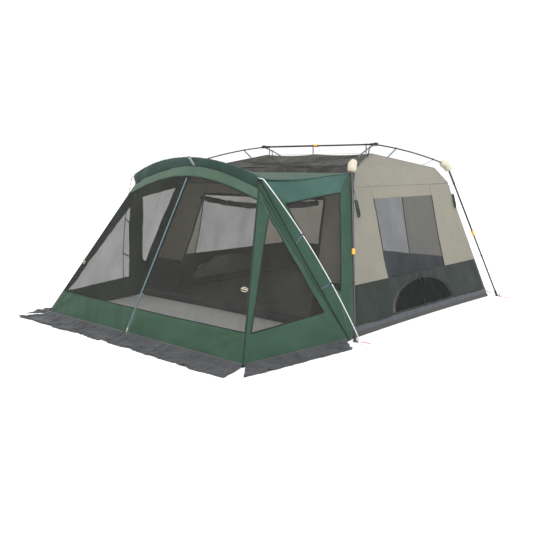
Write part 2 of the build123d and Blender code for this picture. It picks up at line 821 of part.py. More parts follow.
with BuildPart() as knuckle_brackets:
    for side, end, _ in LEGS:
        top = leg_point(side, end, LEG_LENGTH)
        down = (leg_point(side, end, 0) - top).normalized()
        inwards = (Vector(side * HUB[0], 0, HUB[2]) - top).normalized()
        pin = down.cross(inwards).normalized()
        with BuildSketch(Plane(origin=top - pin * 13.0, z_dir=pin)):
            Circle(24.0)
        extrude(amount=26.0)
        with BuildSketch(Plane(origin=top, z_dir=down)):
            Circle(UPPER_TUBE_RADIUS + 3.6)
        extrude(amount=78.0)
        with BuildSketch(Plane(origin=top + down * 25.0, z_dir=down)):
            Circle(UPPER_TUBE_RADIUS + FIT)
        extrude(amount=78.0, mode=Mode.SUBTRACT)
        with BuildSketch(Plane(origin=top - pin * 19.0, z_dir=pin)):
            RegularPolygon(8.0, 6)
        extrude(amount=38.0)
write(knuckle_brackets, "knuckle_brackets")

# Each fleece pad is a bent sleeve round a knuckle, cut clear of the bracket, its bolt and both tubes.
with BuildPart() as knuckle_pads:
    for side, end, _ in LEGS:
        top = leg_point(side, end, LEG_LENGTH)
        down = (leg_point(side, end, 0) - top).normalized()
        inwards = (Vector(side * HUB[0], 0, HUB[2]) - top).normalized()
        for tip in (top + inwards * PAD_REACH, top + down * PAD_REACH):
            rod(top, tip, PAD_RADIUS)
            with Locations(tip):
                Sphere(PAD_RADIUS)
        with Locations(top):
            Sphere(PAD_RADIUS)
    for side, end, _ in LEGS:
        top = leg_point(side, end, LEG_LENGTH)
        down = (leg_point(side, end, 0) - top).normalized()
        inwards = (Vector(side * HUB[0], 0, HUB[2]) - top).normalized()
        pin = down.cross(inwards).normalized()
        for normal, start, radius, depth in (
            (pin, top - pin * (13.0 + PAD_CLEARANCE), 24.0 + PAD_CLEARANCE, 26.0 + 2 * PAD_CLEARANCE),
            (pin, top - pin * (19.0 + PAD_CLEARANCE), 8.0 + PAD_CLEARANCE, 38.0 + 2 * PAD_CLEARANCE),
            (down, top, UPPER_TUBE_RADIUS + 3.6 + PAD_CLEARANCE, PAD_REACH + 2 * PAD_RADIUS),
            (inwards, top, ROOF_POLE_RADIUS + 8.0, PAD_REACH + 2 * PAD_RADIUS),
        ):
            with BuildSketch(Plane(origin=start, z_dir=normal)):
                Circle(radius)
            extrude(amount=depth, mode=Mode.SUBTRACT)
write(knuckle_pads, "knuckle_pads")

# ---------------------------------------------------------------- straps, clips, pegs and guy ropes

LEG_CLIPS = (600.0, 1640.0)
HIP_POINTS = (0.25, 0.8)
RIDGE_CLIPS = (-900.0, -52.0, 860.0)


def clip_places():
    """Every clip: its centre on a pole, the pole's direction and radius, and the fabric point."""
    places = []
    for side, end, _ in LEGS:
        along = (leg_point(side, end, 1) - leg_point(side, end, 0)).normalized()
        for height, radius in zip(LEG_CLIPS, (LOWER_TUBE_RADIUS, UPPER_TUBE_RADIUS)):
            centre = leg_point(side, end, (height - LEG_FOOT[2]) / along.Z)
            fabric = Vector(*wall_corner(side, end, min(height - 30.0, WALL_TOP - 10.0)))
            places.append((centre, along, radius, fabric))
        arc = roof_arcs[side, end]
        for share in HIP_POINTS:
            fabric = Vector(*ridge(side)) + (Vector(*ring(side, end)) - Vector(*ridge(side))) * share
            places.append((arc @ share, arc % share, ROOF_POLE_RADIUS, fabric))
    for x in RIDGE_CLIPS:
        radius = UPPER_TUBE_RADIUS if x < 0 else LOWER_TUBE_RADIUS
        places.append((Vector(x, 0, HUB[2]), Vector(1, 0, 0), radius, Vector(x, 0, RIDGE_HEIGHT)))
    return places


def hoop_clip_places():
    """The clips on the porch hoop's legs: centre, direction, radius and the fabric point."""
    places = []
    for side, _ in SIDES:
        for share, fabric in ((0.355, (1668.0, -1981.0, 570.0)), (0.65, (1436.0, -2130.0, 1050.0))):
            local = right_leg @ share
            slope = right_leg % share
            centre = Vector(side * local.X, local.Y, local.Z)
            along = Vector(side * slope.X, slope.Y, slope.Z)
            places.append((centre, along, HOOP_RADIUS, Vector(side * fabric[0], fabric[1], fabric[2])))
    return places


CLIP_PLACES = clip_places() + hoop_clip_places()


def across(fabric, centre, along):
    """The direction square to a pole that points at the fabric."""
    reach = fabric - centre
    return (reach - along * reach.dot(along)).normalized()


with BuildPart() as pole_clips:
    for centre, along, radius, fabric in CLIP_PLACES:
        clip(centre, along, radius, across(fabric, centre, along) * -1)
write(pole_clips, "pole_clips")

with BuildPart() as hanging_straps:
    for centre, along, radius, fabric in CLIP_PLACES:
        start = centre + across(fabric, centre, along) * (radius + 8.0)
        reach = (fabric - start).normalized()
        strap(start + reach * 0.6, fabric - reach * 4.0)
write(hanging_straps, "hanging_straps")

PEG_RADIUS = 4.0
PEG_LENGTH = 120.0

with BuildPart() as ground_pegs:
    for side, end, _ in LEGS:
        x = side * (LEG_FOOT[0] + 60.0)
        y = end * (LEG_FOOT[1] - 30.0)
        rod((x, y, PEG_RADIUS), (x + side * PEG_LENGTH, y, PEG_RADIUS), PEG_RADIUS)
write(ground_pegs, "ground_pegs")

HANK_SIZE = (68.0, 28.0, 230.0)
HANK_AT = (1178.0, 1395.0)

for end, end_word in ENDS:
    with BuildPart() as guy_hank:
        wall = Plane(
            origin=side_point(1, end * HANK_AT[0], HANK_AT[1]), x_dir=(0, 1, 0), z_dir=(1, 0, SIDE_LEAN)
        )
        with BuildSketch(wall.offset(HANK_SIZE[1] / 2 + 6.0)):
            SlotOverall(HANK_SIZE[2], HANK_SIZE[0], rotation=90)
        extrude(amount=HANK_SIZE[1] / 2, both=True)
    write(guy_hank, f"{end_word}_guy_hank")
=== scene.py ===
"""Looks of the cabin tent with its screened porch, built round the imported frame, in metres."""

import math

import bmesh
import bpy
import numpy as np
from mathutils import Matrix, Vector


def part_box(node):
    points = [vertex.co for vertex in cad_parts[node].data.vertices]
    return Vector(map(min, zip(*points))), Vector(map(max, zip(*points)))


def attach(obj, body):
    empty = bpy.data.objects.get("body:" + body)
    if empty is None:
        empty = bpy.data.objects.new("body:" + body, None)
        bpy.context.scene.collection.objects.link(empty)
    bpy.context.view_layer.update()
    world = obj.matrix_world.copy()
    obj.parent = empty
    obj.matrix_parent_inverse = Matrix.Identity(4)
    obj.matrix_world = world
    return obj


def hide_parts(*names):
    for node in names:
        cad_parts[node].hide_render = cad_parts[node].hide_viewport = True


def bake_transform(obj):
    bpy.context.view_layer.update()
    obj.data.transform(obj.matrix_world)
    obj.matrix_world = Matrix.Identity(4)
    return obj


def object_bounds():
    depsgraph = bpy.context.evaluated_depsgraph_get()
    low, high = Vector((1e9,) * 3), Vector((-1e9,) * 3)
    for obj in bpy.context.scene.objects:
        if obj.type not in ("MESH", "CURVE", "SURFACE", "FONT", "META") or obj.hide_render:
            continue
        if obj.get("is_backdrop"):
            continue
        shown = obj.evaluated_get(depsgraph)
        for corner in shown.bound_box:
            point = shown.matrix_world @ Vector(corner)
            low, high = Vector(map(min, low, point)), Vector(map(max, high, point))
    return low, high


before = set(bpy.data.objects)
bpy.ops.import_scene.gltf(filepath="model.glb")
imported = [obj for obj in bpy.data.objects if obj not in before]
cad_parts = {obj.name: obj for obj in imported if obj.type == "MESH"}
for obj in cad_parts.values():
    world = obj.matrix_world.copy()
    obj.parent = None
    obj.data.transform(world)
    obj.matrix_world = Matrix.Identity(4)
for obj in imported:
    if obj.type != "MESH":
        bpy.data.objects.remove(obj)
cad_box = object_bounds()


def box(node):
    """A CAD node's lowest and highest corner as arrays."""
    low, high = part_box(node)
    return np.array(low), np.array(high)


# ---------------------------------------------------------------- sizes read from the frame

FLOOR_LOW, FLOOR_HIGH = box("groundsheet")
GABLE_LOW, GABLE_HIGH = box("roof_gables")
CABIN_Y = (FLOOR_LOW[1] + FLOOR_HIGH[1]) / 2
HALF_WIDTH = FLOOR_HIGH[0]
HALF_DEPTH = (FLOOR_HIGH[1] - FLOOR_LOW[1]) / 2
TUB = FLOOR_HIGH[2]
SILL = box("right_upper_wall")[0][2]
EAVE = box("roof_gables")[0][2] + 0.003
SIDE_LEAN = (HALF_WIDTH - GABLE_HIGH[0]) / EAVE
END_LEAN = (HALF_DEPTH - (GABLE_HIGH[1] - GABLE_LOW[1]) / 2) / EAVE
HEADER = box("cabin_windows")[1][2]
WINDOW_FRONT = CABIN_Y - 0.77
WINDOW_BACK = CABIN_Y + 0.63
BACK_WINDOW = 0.70
RIDGE_Z = box("roof_back_panel")[1][2]
RIDGE_X = 0.943
RING = np.array([1.36, 0.95, 1.86])
DOOR_TOP = 1.08
DOOR_FOOT = 1.25
HATCH_LOW, HATCH_HIGH = box("right_hatch")
HATCH_Y = (HATCH_LOW[1] + HATCH_HIGH[1]) / 2
HATCH_HALF = (HATCH_HIGH[1] - HATCH_LOW[1]) / 2
HATCH_Z = HATCH_LOW[2]
HATCH_TALL = HATCH_HIGH[2] - HATCH_LOW[2]

SKIRT_LOW = box("porch_skirts")[0]
HOOP_HIGH = box("porch_hoop")[1]
HOOP_FOOT_Y = CABIN_Y - 1.85
HOOP_LEAN = -0.29
HOOP_SPRING = np.array([1.12, 1.756])
HOOP_PEAK = HOOP_HIGH[2] - 0.006
FRONT_Y = CABIN_Y - 3.30
FRONT_LEAN = 0.4521
EDGE_LEAN = 0.57
FRONT_X = 1.77
FRONT_TOP = np.array([1.10, 1.65])
BROW_PEAK = 1.893
BAND_PEAK = 1.772
BAND_END = 1.530
HEM = box("right_door_mesh")[0][2]
ZIP_FOOT = -0.10
ZIP_TOP = 0.098
ZIP_HIGH = box("right_zip_tape")[1][2]
REAR = np.array([1.44, CABIN_Y - 1.20, 1.80])
FOOT = np.array([1.93, CABIN_Y - 1.80, 0.002])
BEND = np.array([1.105, CABIN_Y - 2.345, 1.732])
FRONT_MESH = np.array(
    [[1.666, CABIN_Y - 3.067, 0.276], [1.753, CABIN_Y - 2.029, 0.329], [1.233, CABIN_Y - 2.354, 1.366]]
)
REAR_MESH = np.array(
    [
        [1.291, CABIN_Y - 2.122, 1.487],
        [1.466, CABIN_Y - 1.381, 1.588],
        [1.756, CABIN_Y - 1.736, 0.522],
        [1.722, CABIN_Y - 1.807, 0.559],
    ]
)
LEG_FOOT = np.array([1.988, 1.779, 0.030])
LEG_TOP = np.array([1.447, 1.146, 1.907])
HUB_Z = 2.173
SIDES = ((1, "right"), (-1, "left"))
ENDS = ((-1, "front"), (1, "back"))

# ---------------------------------------------------------------- materials


def new_material(name):
    """An empty node material, its nodes and links, and its Principled shader."""
    material = bpy.data.materials.new(name)
    material.use_nodes = True
    nodes = material.node_tree.nodes
    return material, nodes, material.node_tree.links, nodes["Principled BSDF"]


def noise_node(nodes, links, coordinate, scale, detail=4.0, rough=0.6, stretch=None):
    """A noise texture in object space, stretched along an axis if asked."""
    texture = nodes.new("ShaderNodeTexNoise")
    texture.inputs["Scale"].default_value = scale
    texture.inputs["Detail"].default_value = detail
    texture.inputs["Roughness"].default_value = rough
    if stretch:
        mapping = nodes.new("ShaderNodeMapping")
        mapping.inputs["Scale"].default_value = stretch
        links.new(coordinate, mapping.inputs["Vector"])
        coordinate = mapping.outputs["Vector"]
    links.new(coordinate, texture.inputs["Vector"])
    return texture.outputs["Fac"]


def mix_colour(nodes, links, factor, low, high, low_at=0.3, high_at=0.7):
    """A colour ramp from one colour to another over a factor."""
    ramp = nodes.new("ShaderNodeValToRGB")
    ramp.color_ramp.elements[0].position = low_at
    ramp.color_ramp.elements[0].color = (*low, 1)
    ramp.color_ramp.elements[1].position = high_at
    ramp.color_ramp.elements[1].color = (*high, 1)
    links.new(factor, ramp.inputs["Fac"])
    return ramp.outputs["Color"]


def bump(nodes, links, height, strength, distance, normal=None):
    """A bump node on top of another."""
    node = nodes.new("ShaderNodeBump")
    node.inputs["Strength"].default_value = strength
    node.inputs["Distance"].default_value = distance
    links.new(height, node.inputs["Height"])
    if normal:
        links.new(normal, node.inputs["Normal"])
    return node.outputs["Normal"]


def weave(nodes, links, coordinate, pitch):
    """Plain-weave height: two crossed sets of threads."""
    waves = []
    for direction in ("X", "Y", "Z"):
        wave = nodes.new("ShaderNodeTexWave")
        wave.bands_direction = direction
        wave.inputs["Scale"].default_value = 0.05 / pitch
        wave.inputs["Distortion"].default_value = 0.6
        wave.inputs["Detail"].default_value = 1.0
        links.new(coordinate, wave.inputs["Vector"])
        waves.append(wave.outputs["Fac"])
    total = waves[0]
    for wave in waves[1:]:
        add = nodes.new("ShaderNodeMath")
        add.operation = "ADD"
        links.new(total, add.inputs[0])
        links.new(wave, add.inputs[1])
        total = add.outputs[0]
    return total


def cloth_material(name, colour, spread=0.10, rough=0.88, sheen=0.12, pitch=0.0011, crease=0.5, through=0.0):
    """Woven cloth: threads, mottled dye, handling creases, and the light that comes through it."""
    material, nodes, links, shader = new_material(name)
    place = nodes.new("ShaderNodeTexCoord").outputs["Object"]
    broad = noise_node(nodes, links, place, 2.2, 5.0, 0.62)
    low = tuple(c * (1 - spread) for c in colour)
    high = tuple(min(1.0, c * (1 + spread)) for c in colour)
    dye = mix_colour(nodes, links, broad, low, high)
    links.new(dye, shader.inputs["Base Color"])
    fold = noise_node(nodes, links, place, 9.0, 6.0, 0.55, (1.0, 1.0, 0.45))
    normal = bump(nodes, links, fold, crease, 0.006)
    fine = noise_node(nodes, links, place, 60.0, 3.0, 0.6)
    normal = bump(nodes, links, fine, 0.25, 0.0006, normal)
    normal = bump(nodes, links, weave(nodes, links, place, pitch), 0.35, 0.0002, normal)
    links.new(normal, shader.inputs["Normal"])
    shader.inputs["Roughness"].default_value = rough
    shader.inputs["Sheen Weight"].default_value = sheen
    shader.inputs["Specular IOR Level"].default_value = 0.3
    if through:
        glow = nodes.new("ShaderNodeBsdfTranslucent")
        links.new(dye, glow.inputs["Color"])
        mix = nodes.new("ShaderNodeMixShader")
        mix.inputs["Fac"].default_value = through
        links.new(shader.outputs["BSDF"], mix.inputs[1])
        links.new(glow.outputs["BSDF"], mix.inputs[2])
        links.new(mix.outputs["Shader"], nodes["Material Output"].inputs["Surface"])
    return material


def net_material(name, colour, cover, spread=0.06, rough=0.8):
    """Fine netting: part of the light goes through, a little less where the net gathers."""
    material, nodes, links, shader = new_material(name)
    place = nodes.new("ShaderNodeTexCoord").outputs["Object"]
    folds = noise_node(nodes, links, place, 3.0, 4.0, 0.6, (1.0, 1.0, 0.5))
    limits = nodes.new("ShaderNodeMapRange")
    limits.inputs["From Min"].default_value = 0.3
    limits.inputs["From Max"].default_value = 0.7
    limits.inputs["To Min"].default_value = cover - spread
    limits.inputs["To Max"].default_value = cover + spread
    links.new(folds, limits.inputs["Value"])
    links.new(limits.outputs["Result"], shader.inputs["Alpha"])
    low = tuple(c * 0.85 for c in colour)
    high = tuple(c * 1.15 for c in colour)
    links.new(mix_colour(nodes, links, folds, low, high), shader.inputs["Base Color"])
    normal = bump(nodes, links, weave(nodes, links, place, 0.0016), 0.3, 0.0003)
    links.new(normal, shader.inputs["Normal"])
    shader.inputs["Roughness"].default_value = rough
    shader.inputs["Specular IOR Level"].default_value = 0.2
    return material


def solid_material(name, colour, rough, metal=0.0, grain=120.0, strength=0.15, spread=0.08, coat=0.0):
    """Plastic, paint or metal with fine grain, faint wear and uneven gloss."""
    material, nodes, links, shader = new_material(name)
    place = nodes.new("ShaderNodeTexCoord").outputs["Object"]
    broad = noise_node(nodes, links, place, 14.0, 5.0, 0.6)
    low = tuple(c * (1 - spread) for c in colour)
    high = tuple(min(1.0, c * (1 + spread) + 0.01) for c in colour)
    links.new(mix_colour(nodes, links, broad, low, high), shader.inputs["Base Color"])
    limits = nodes.new("ShaderNodeMapRange")
    limits.inputs["To Min"].default_value = rough - 0.07
    limits.inputs["To Max"].default_value = rough + 0.07
    links.new(noise_node(nodes, links, place, 35.0, 4.0), limits.inputs["Value"])
    links.new(limits.outputs["Result"], shader.inputs["Roughness"])
    links.new(bump(nodes, links, noise_node(nodes, links, place, grain, 3.0), strength, 0.0004),
              shader.inputs["Normal"])
    shader.inputs["Metallic"].default_value = metal
    shader.inputs["Coat Weight"].default_value = coat
    return material


GREEN = cloth_material("green cloth", (0.027, 0.066, 0.045), spread=0.16, through=0.15)
HEM_GREEN = cloth_material("hem green cloth", (0.025, 0.060, 0.036), spread=0.18, crease=0.8, through=0.1)
BAND_GREEN = cloth_material("front band cloth", (0.054, 0.095, 0.066), spread=0.15, through=0.1)
BROW_GREEN = cloth_material("dark brow cloth", (0.014, 0.038, 0.029), spread=0.25, crease=0.9)
DARK_GREEN = cloth_material("dark green binding", (0.009, 0.019, 0.015))
VALANCE = cloth_material("light green cloth", (0.043, 0.099, 0.082), spread=0.16, through=0.2)
CABIN_GREEN = cloth_material("cabin green cloth", (0.010, 0.017, 0.013), spread=0.14, crease=0.8, through=0.1)
BEIGE = cloth_material("beige cloth", (0.425, 0.408, 0.345), spread=0.06, through=0.6)
# painted light: the tub's tone on the lit upper half of the edge fold, paired with the painted-shade grey on
# the lower half
LIT_TUB_BLUE = cloth_material("tub cloth lit side", (0.048, 0.053, 0.062), rough=0.7, crease=1.0)
# painted shade: this grey is the floor as it looks in the tent's shade, and it also darkens the lower half of
# the edge fold
SHADED_FLOOR_GREY = cloth_material("floor cloth with painted shade", (0.034, 0.035, 0.032), rough=0.7, crease=1.0)
SKIRT = cloth_material("skirt cloth", (0.035, 0.037, 0.041), spread=0.25, rough=0.62, crease=1.0)
BINDING = cloth_material("binding tape", (0.009, 0.009, 0.009), pitch=0.002)
WEBBING = cloth_material("webbing", (0.112, 0.155, 0.224), pitch=0.0022)
GREY_TAB = cloth_material("grey webbing", (0.206, 0.215, 0.206), pitch=0.0022)
ZIP_TAPE = cloth_material("zip tape", (0.026, 0.045, 0.047), pitch=0.0015)
SCREEN = net_material("screen net", (0.030, 0.030, 0.027), 0.58)
WINDOW_NET = net_material("window net", (0.045, 0.049, 0.054), 0.65)
HATCH_NET = net_material("vent net", (0.004, 0.005, 0.005), 0.97, 0.02)
ROOF_NET = net_material("roof net", (0.020, 0.020, 0.021), 0.84, 0.14)
BLACK_TUBE = solid_material("black tube", (0.016, 0.016, 0.017), 0.38, grain=200.0)
BLACK_PLASTIC = solid_material("black plastic", (0.014, 0.014, 0.015), 0.52, strength=0.3)
ORANGE_PLASTIC = solid_material("orange plastic", (0.93, 0.38, 0.015), 0.45)
GREY_PLASTIC = solid_material("grey plastic", (0.16, 0.17, 0.18), 0.5)
RED_PLASTIC = solid_material("red plastic", (0.70, 0.03, 0.02), 0.42)
HOOP_ROD = solid_material("glass-fibre rod", (0.50, 0.52, 0.53), 0.30, grain=260.0, coat=0.3)
PALE_METAL = solid_material("pale zip metal", (0.62, 0.55, 0.42), 0.42, metal=0.3)
CREAM_CORD = cloth_material("cream cord", (0.568, 0.516, 0.404), pitch=0.001)
GUY_CORD = cloth_material("guy cord", (0.026, 0.043, 0.033), spread=0.5, pitch=0.0012)


def fleece_material():
    """Short curly pile in cream."""
    material, nodes, links, shader = new_material("cream fleece")
    place = nodes.new("ShaderNodeTexCoord").outputs["Object"]
    curls = noise_node(nodes, links, place, 95.0, 6.0, 0.75)
    links.new(
        mix_colour(nodes, links, curls, (0.34, 0.305, 0.22), (0.60, 0.56, 0.45)), shader.inputs["Base Color"]
    )
    links.new(bump(nodes, links, curls, 0.9, 0.004), shader.inputs["Normal"])
    shader.inputs["Roughness"].default_value = 1.0
    shader.inputs["Sheen Weight"].default_value = 0.4
    return material


FLEECE = fleece_material()
BEIGE_SEAM = cloth_material("beige seam", (0.172, 0.163, 0.142), spread=0.05)
DOOR_CLOTH = cloth_material("rolled door cloth", (0.026, 0.027, 0.026), crease=1.0)
ZIP_TEETH = solid_material("zip teeth", (0.25, 0.34, 0.40), 0.4)

# ---------------------------------------------------------------- mesh helpers


def mesh_object(name, points, faces, material, smooth=True):
    """A mesh object from points and faces."""
    mesh = bpy.data.meshes.new(name)
    mesh.from_pydata([tuple(p) for p in points], [], [tuple(f) for f in faces])
    mesh.materials.append(material)
    mesh.polygons.foreach_set("use_smooth", [smooth] * len(mesh.polygons))
    mesh.update()
    obj = bpy.data.objects.new(name, mesh)
    bpy.context.scene.collection.objects.link(obj)
    return obj


def grid_faces(rows, columns, start=0, close=False):
    """Quads of a grid of points, closed round its columns if asked."""
    faces = []
    for i in range(rows - 1):
        for j in range(columns if close else columns - 1):
            k = (j + 1) % columns
            a, b = start + i * columns + j, start + i * columns + k
            faces.append((a, b, b + columns, a + columns))
    return faces


def patch(a, b, c, d, step=0.04):
    """A bilinear grid over four corners, in order round it."""
    a, b, c, d = (np.asarray(p, float) for p in (a, b, c, d))
    across = max(np.linalg.norm(b - a), np.linalg.norm(c - d))
    along = max(np.linalg.norm(d - a), np.linalg.norm(c - b))
    u = np.linspace(0, 1, max(3, int(across / step) + 1))[None, :, None]
    v = np.linspace(0, 1, max(3, int(along / step) + 1))[:, None, None]
    return (a * (1 - u) + b * u) * (1 - v) + (d * (1 - u) + c * u) * v


def ruled(first, second, rows):
    """A grid between two rows of points."""
    v = np.linspace(0, 1, rows)[:, None, None]
    return np.asarray(first)[None] * (1 - v) + np.asarray(second)[None] * v


def outward(grid, hint):
    """The grid, turned so that its faces look along hint."""
    middle = len(grid) // 2
    normal = np.cross(grid[0, -1] - grid[0, 0], grid[1, 0] - grid[0, 0])
    normal = normal + np.cross(grid[middle, -1] - grid[middle, 0], grid[middle - 1, 0] - grid[middle, 0]) * -1
    return grid if np.dot(normal, hint) > 0 else grid[:, ::-1]


def cloth_piece(name, grids, material, shape=None, hint=(0, 0, 1), body="root", nodes=(), slot=None,
                thick=0.0014, sheet=True):
    """Sewn cloth or net from one or more grids, moved by a shape function, welded and given its thickness."""
    points, faces = [], []
    for grid in grids:
        grid = outward(grid, hint)
        rows, columns = grid.shape[:2]
        faces += grid_faces(rows, columns, sum(len(p) for p in points))
        flat = grid.reshape(-1, 3)
        points.append(shape(flat) if shape else flat)
    obj = mesh_object(name, np.concatenate(points), faces, material)
    work = bmesh.new()
    work.from_mesh(obj.data)
    bmesh.ops.remove_doubles(work, verts=work.verts, dist=0.0008)
    bmesh.ops.dissolve_degenerate(work, edges=work.edges, dist=0.0002)
    work.to_mesh(obj.data)
    work.free()
    obj.data.polygons.foreach_set("use_smooth", [True] * len(obj.data.polygons))
    if thick:
        solid = obj.modifiers.new("cloth", "SOLIDIFY")
        solid.thickness = thick
        solid.offset = -1
    finish_piece(obj, body, nodes, slot)
    if sheet:
        declare_sheet(obj)
    return obj


LEAST_FILL = 0.32
WINDOW_NET_GAP = 0.004
PORCH_NET_GAP = 0.003


def declare_sheet(obj):
    """Works out the area and the two longest spans of a sewn panel's own mesh, and does nothing with them.

    Where openings leave less cloth than LEAST_FILL of those spans, the width is narrowed to reach it,
    and isn't the real one.
    """
    points = np.array([v.co[:] for v in obj.data.vertices])
    points -= points.mean(axis=0)
    area = sum(face.area for face in obj.data.polygons)
    width, length = np.ptp(points @ np.linalg.eigh(points.T @ points)[1], axis=0)[1:]
    width = max(width, area * 1.01 / length)
    width = min(width, area / (LEAST_FILL * length))


def finish_piece(obj, body, nodes=(), slot=None):
    """Puts a piece on its body and hides the CAD nodes it stands for; slot is not used."""
    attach(obj, body)
    if nodes:
        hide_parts(*nodes)


def tube(points, radii, sides=12, flat=1.0, up=(0, 0, 1), caps=True):
    """Points and faces of a tube along a path, with a radius at each point and an oval section."""
    points = np.asarray(points, float)
    radii = np.broadcast_to(np.asarray(radii, float), (len(points),))
    tangents = np.gradient(points, axis=0)
    tangents /= np.linalg.norm(tangents, axis=1)[:, None]
    side = np.cross(tangents, up)
    weak = np.linalg.norm(side, axis=1) < 1e-6
    side[weak] = np.cross(tangents[weak], (1, 0, 0.3))
    side /= np.linalg.norm(side, axis=1)[:, None]
    top = np.cross(side, tangents)
    angles = np.linspace(0, 2 * math.pi, sides, endpoint=False)
    rings = (
        points[:, None]
        + radii[:, None, None] * np.cos(angles)[None, :, None] * side[:, None]
        + radii[:, None, None] * flat * np.sin(angles)[None, :, None] * top[:, None]
    )
    faces = grid_faces(len(points), sides, close=True)
    flat_points = rings.reshape(-1, 3)
    if caps:
        faces.append(tuple(range(sides))[::-1])
        faces.append(tuple(range(len(flat_points) - sides, len(flat_points))))
    return flat_points, faces


def tubes_object(name, tubes, material):
    """One object from several tubes."""
    points, faces = [], []
    for tube_points, tube_faces in tubes:
        start = sum(len(p) for p in points)
        points.append(tube_points)
        faces += [tuple(start + i for i in face) for face in tube_faces]
    return mesh_object(name, np.concatenate(points), faces, material)


def line(a, b, count):
    """Evenly spaced points from a to b."""
    t = np.linspace(0, 1, count)[:, None]
    return np.asarray(a, float) * (1 - t) + np.asarray(b, float) * t


def polyline(corners, step=0.05):
    """Evenly spaced points along a run of corners."""
    rows = []
    for a, b in zip(corners, corners[1:]):
        count = max(2, int(np.linalg.norm(np.asarray(b) - np.asarray(a)) / step) + 1)
        rows.append(line(a, b, count)[:-1])
    return np.concatenate(rows + [np.asarray(corners[-1], float)[None]])


def tape(path, normal, width=0.014, height=0.0018):
    """Points and faces of a flat tape along a path, lying square to a normal."""
    path = np.asarray(path, float)
    normal = np.asarray(normal, float) / np.linalg.norm(normal)
    tangents = np.gradient(path, axis=0)
    tangents /= np.linalg.norm(tangents, axis=1)[:, None]
    side = np.cross(tangents, normal)
    side /= np.linalg.norm(side, axis=1)[:, None]
    shape = ((-1, 0.0), (-0.86, 1.0), (0.86, 1.0), (1, 0.0), (0.86, -1.0), (-0.86, -1.0))
    rings = np.stack([path + side * (a * width / 2) + normal * (b * height) for a, b in shape], axis=1)
    faces = grid_faces(len(path), len(shape), close=True)
    flat_points = rings.reshape(-1, 3)
    faces.append(tuple(range(len(shape)))[::-1])
    faces.append(tuple(range(len(flat_points) - len(shape), len(flat_points))))
    return flat_points, faces


# ---------------------------------------------------------------- folds and sag


def ripple(points, seed, size, octaves=3):
    """Smooth random waves about size long, roughly from -1 to 1."""
    rng = np.random.default_rng(seed)
    total = np.zeros(len(points))
    for octave in range(octaves):
        directions = rng.normal(size=(6, 3))
        directions /= np.linalg.norm(directions, axis=1)[:, None]
        frequency = 2 * math.pi / size * 2**octave * rng.uniform(0.6, 1.4, 6)
        phase = rng.uniform(0, 2 * math.pi, 6)
        total += np.sin(points @ (directions * frequency[:, None]).T + phase).sum(1) / 2.6 * 0.5**octave
    return total


def creases(points, anchor, normal, folds, reach, seed):
    """Tension folds that fan out from a point where the cloth is held."""
    normal = np.asarray(normal, float) / np.linalg.norm(normal)
    first = np.cross(normal, (0.31, 0.87, 0.4))
    first /= np.linalg.norm(first)
    second = np.cross(normal, first)
    away = points - np.asarray(anchor, float)
    a, b = away @ first, away @ second
    distance = np.hypot(a, b)
    angle = np.arctan2(b, a)
    phase = np.random.default_rng(seed).uniform(0, 6.28, 3)
    wave = np.sin(0.5 * angle * folds + phase[0] + 0.8 * np.sin(3 * angle + phase[1]))
    wave = 1 - 1.7 * np.abs(wave) ** 0.8
    return wave * np.exp(-distance / reach) * (1 - np.exp(-distance / (0.3 * reach)))


def clamp_fade(distance, width):
    """0 at an edge, 1 beyond a width from it."""
    t = np.clip(distance / width, 0, 1)
    return t * t * (3 - 2 * t)


def side_point(side, y, z, out=0.0):
    """A point on a cabin side wall."""
    return np.array([side * (HALF_WIDTH - SIDE_LEAN * z + out), y, z])


def end_point(end, x, z, out=0.0):
    """A point on the cabin's front or back wall."""
    return np.array([x, CABIN_Y + end * (HALF_DEPTH - END_LEAN * z + out), z])


def wall_corner(side, end, z):
    """The cabin's corner at a height."""
    return np.array([side * (HALF_WIDTH - SIDE_LEAN * z), CABIN_Y + end * (HALF_DEPTH - END_LEAN * z), z])


def side_wall_shape(side):
    """How a cabin side wall sags in and creases between the points that hold it."""
    normal = np.array([side, 0, SIDE_LEAN]) / math.hypot(1, SIDE_LEAN)

    def shape(points):
        depth = HALF_DEPTH - END_LEAN * points[:, 2]
        across = (points[:, 1] - CABIN_Y) / depth
        high = points[:, 2] / EAVE
        edge = clamp_fade((1 - np.abs(across)) * depth, 0.12)
        bowl = (1 - across**2) * np.sin(math.pi * np.clip(high, 0, 1))
        move = -0.022 * bowl
        waves = ripple(points * (1, 1, 0.35), 11 + side, 0.42, 3)
        move += 0.0045 * edge * waves * clamp_fade(points[:, 2], 0.1)
        for end, _ in ENDS:
            for z, reach in ((EAVE, 0.55), (SILL, 0.50), (0.10, 0.40)):
                move += 0.008 * edge * creases(points, wall_corner(side, end, z), normal, 9, reach,
                                               5 + end + int(z * 9))
        move -= 0.035 * (1 - across**2) * np.clip(1 - points[:, 2] / SILL, 0, 1) ** 2
        return points + move[:, None] * normal

    return shape, normal


def end_wall_shape(end):
    """The same for the cabin's front and back walls."""
    normal = np.array([0, end, END_LEAN]) / math.hypot(1, END_LEAN)

    def shape(points):
        width = HALF_WIDTH - SIDE_LEAN * points[:, 2]
        across = points[:, 0] / width
        high = points[:, 2] / EAVE
        edge = clamp_fade((1 - np.abs(across)) * width, 0.12)
        move = -0.020 * (1 - across**2) * np.sin(math.pi * np.clip(high, 0, 1))
        move += 0.0045 * edge * ripple(points * (1, 1, 0.35), 31 + end, 0.42,
                                       3) * clamp_fade(points[:, 2], 0.1)
        for side, _ in SIDES:
            for z, reach in ((EAVE, 0.55), (SILL, 0.45)):
                move += 0.008 * edge * creases(points, wall_corner(side, end, z), normal, 9, reach,
                                               40 + side + int(z * 9))
        move -= 0.03 * (1 - across**2) * np.clip(1 - points[:, 2] / SILL, 0, 1) ** 2
        return points + move[:, None] * normal

    return shape, normal


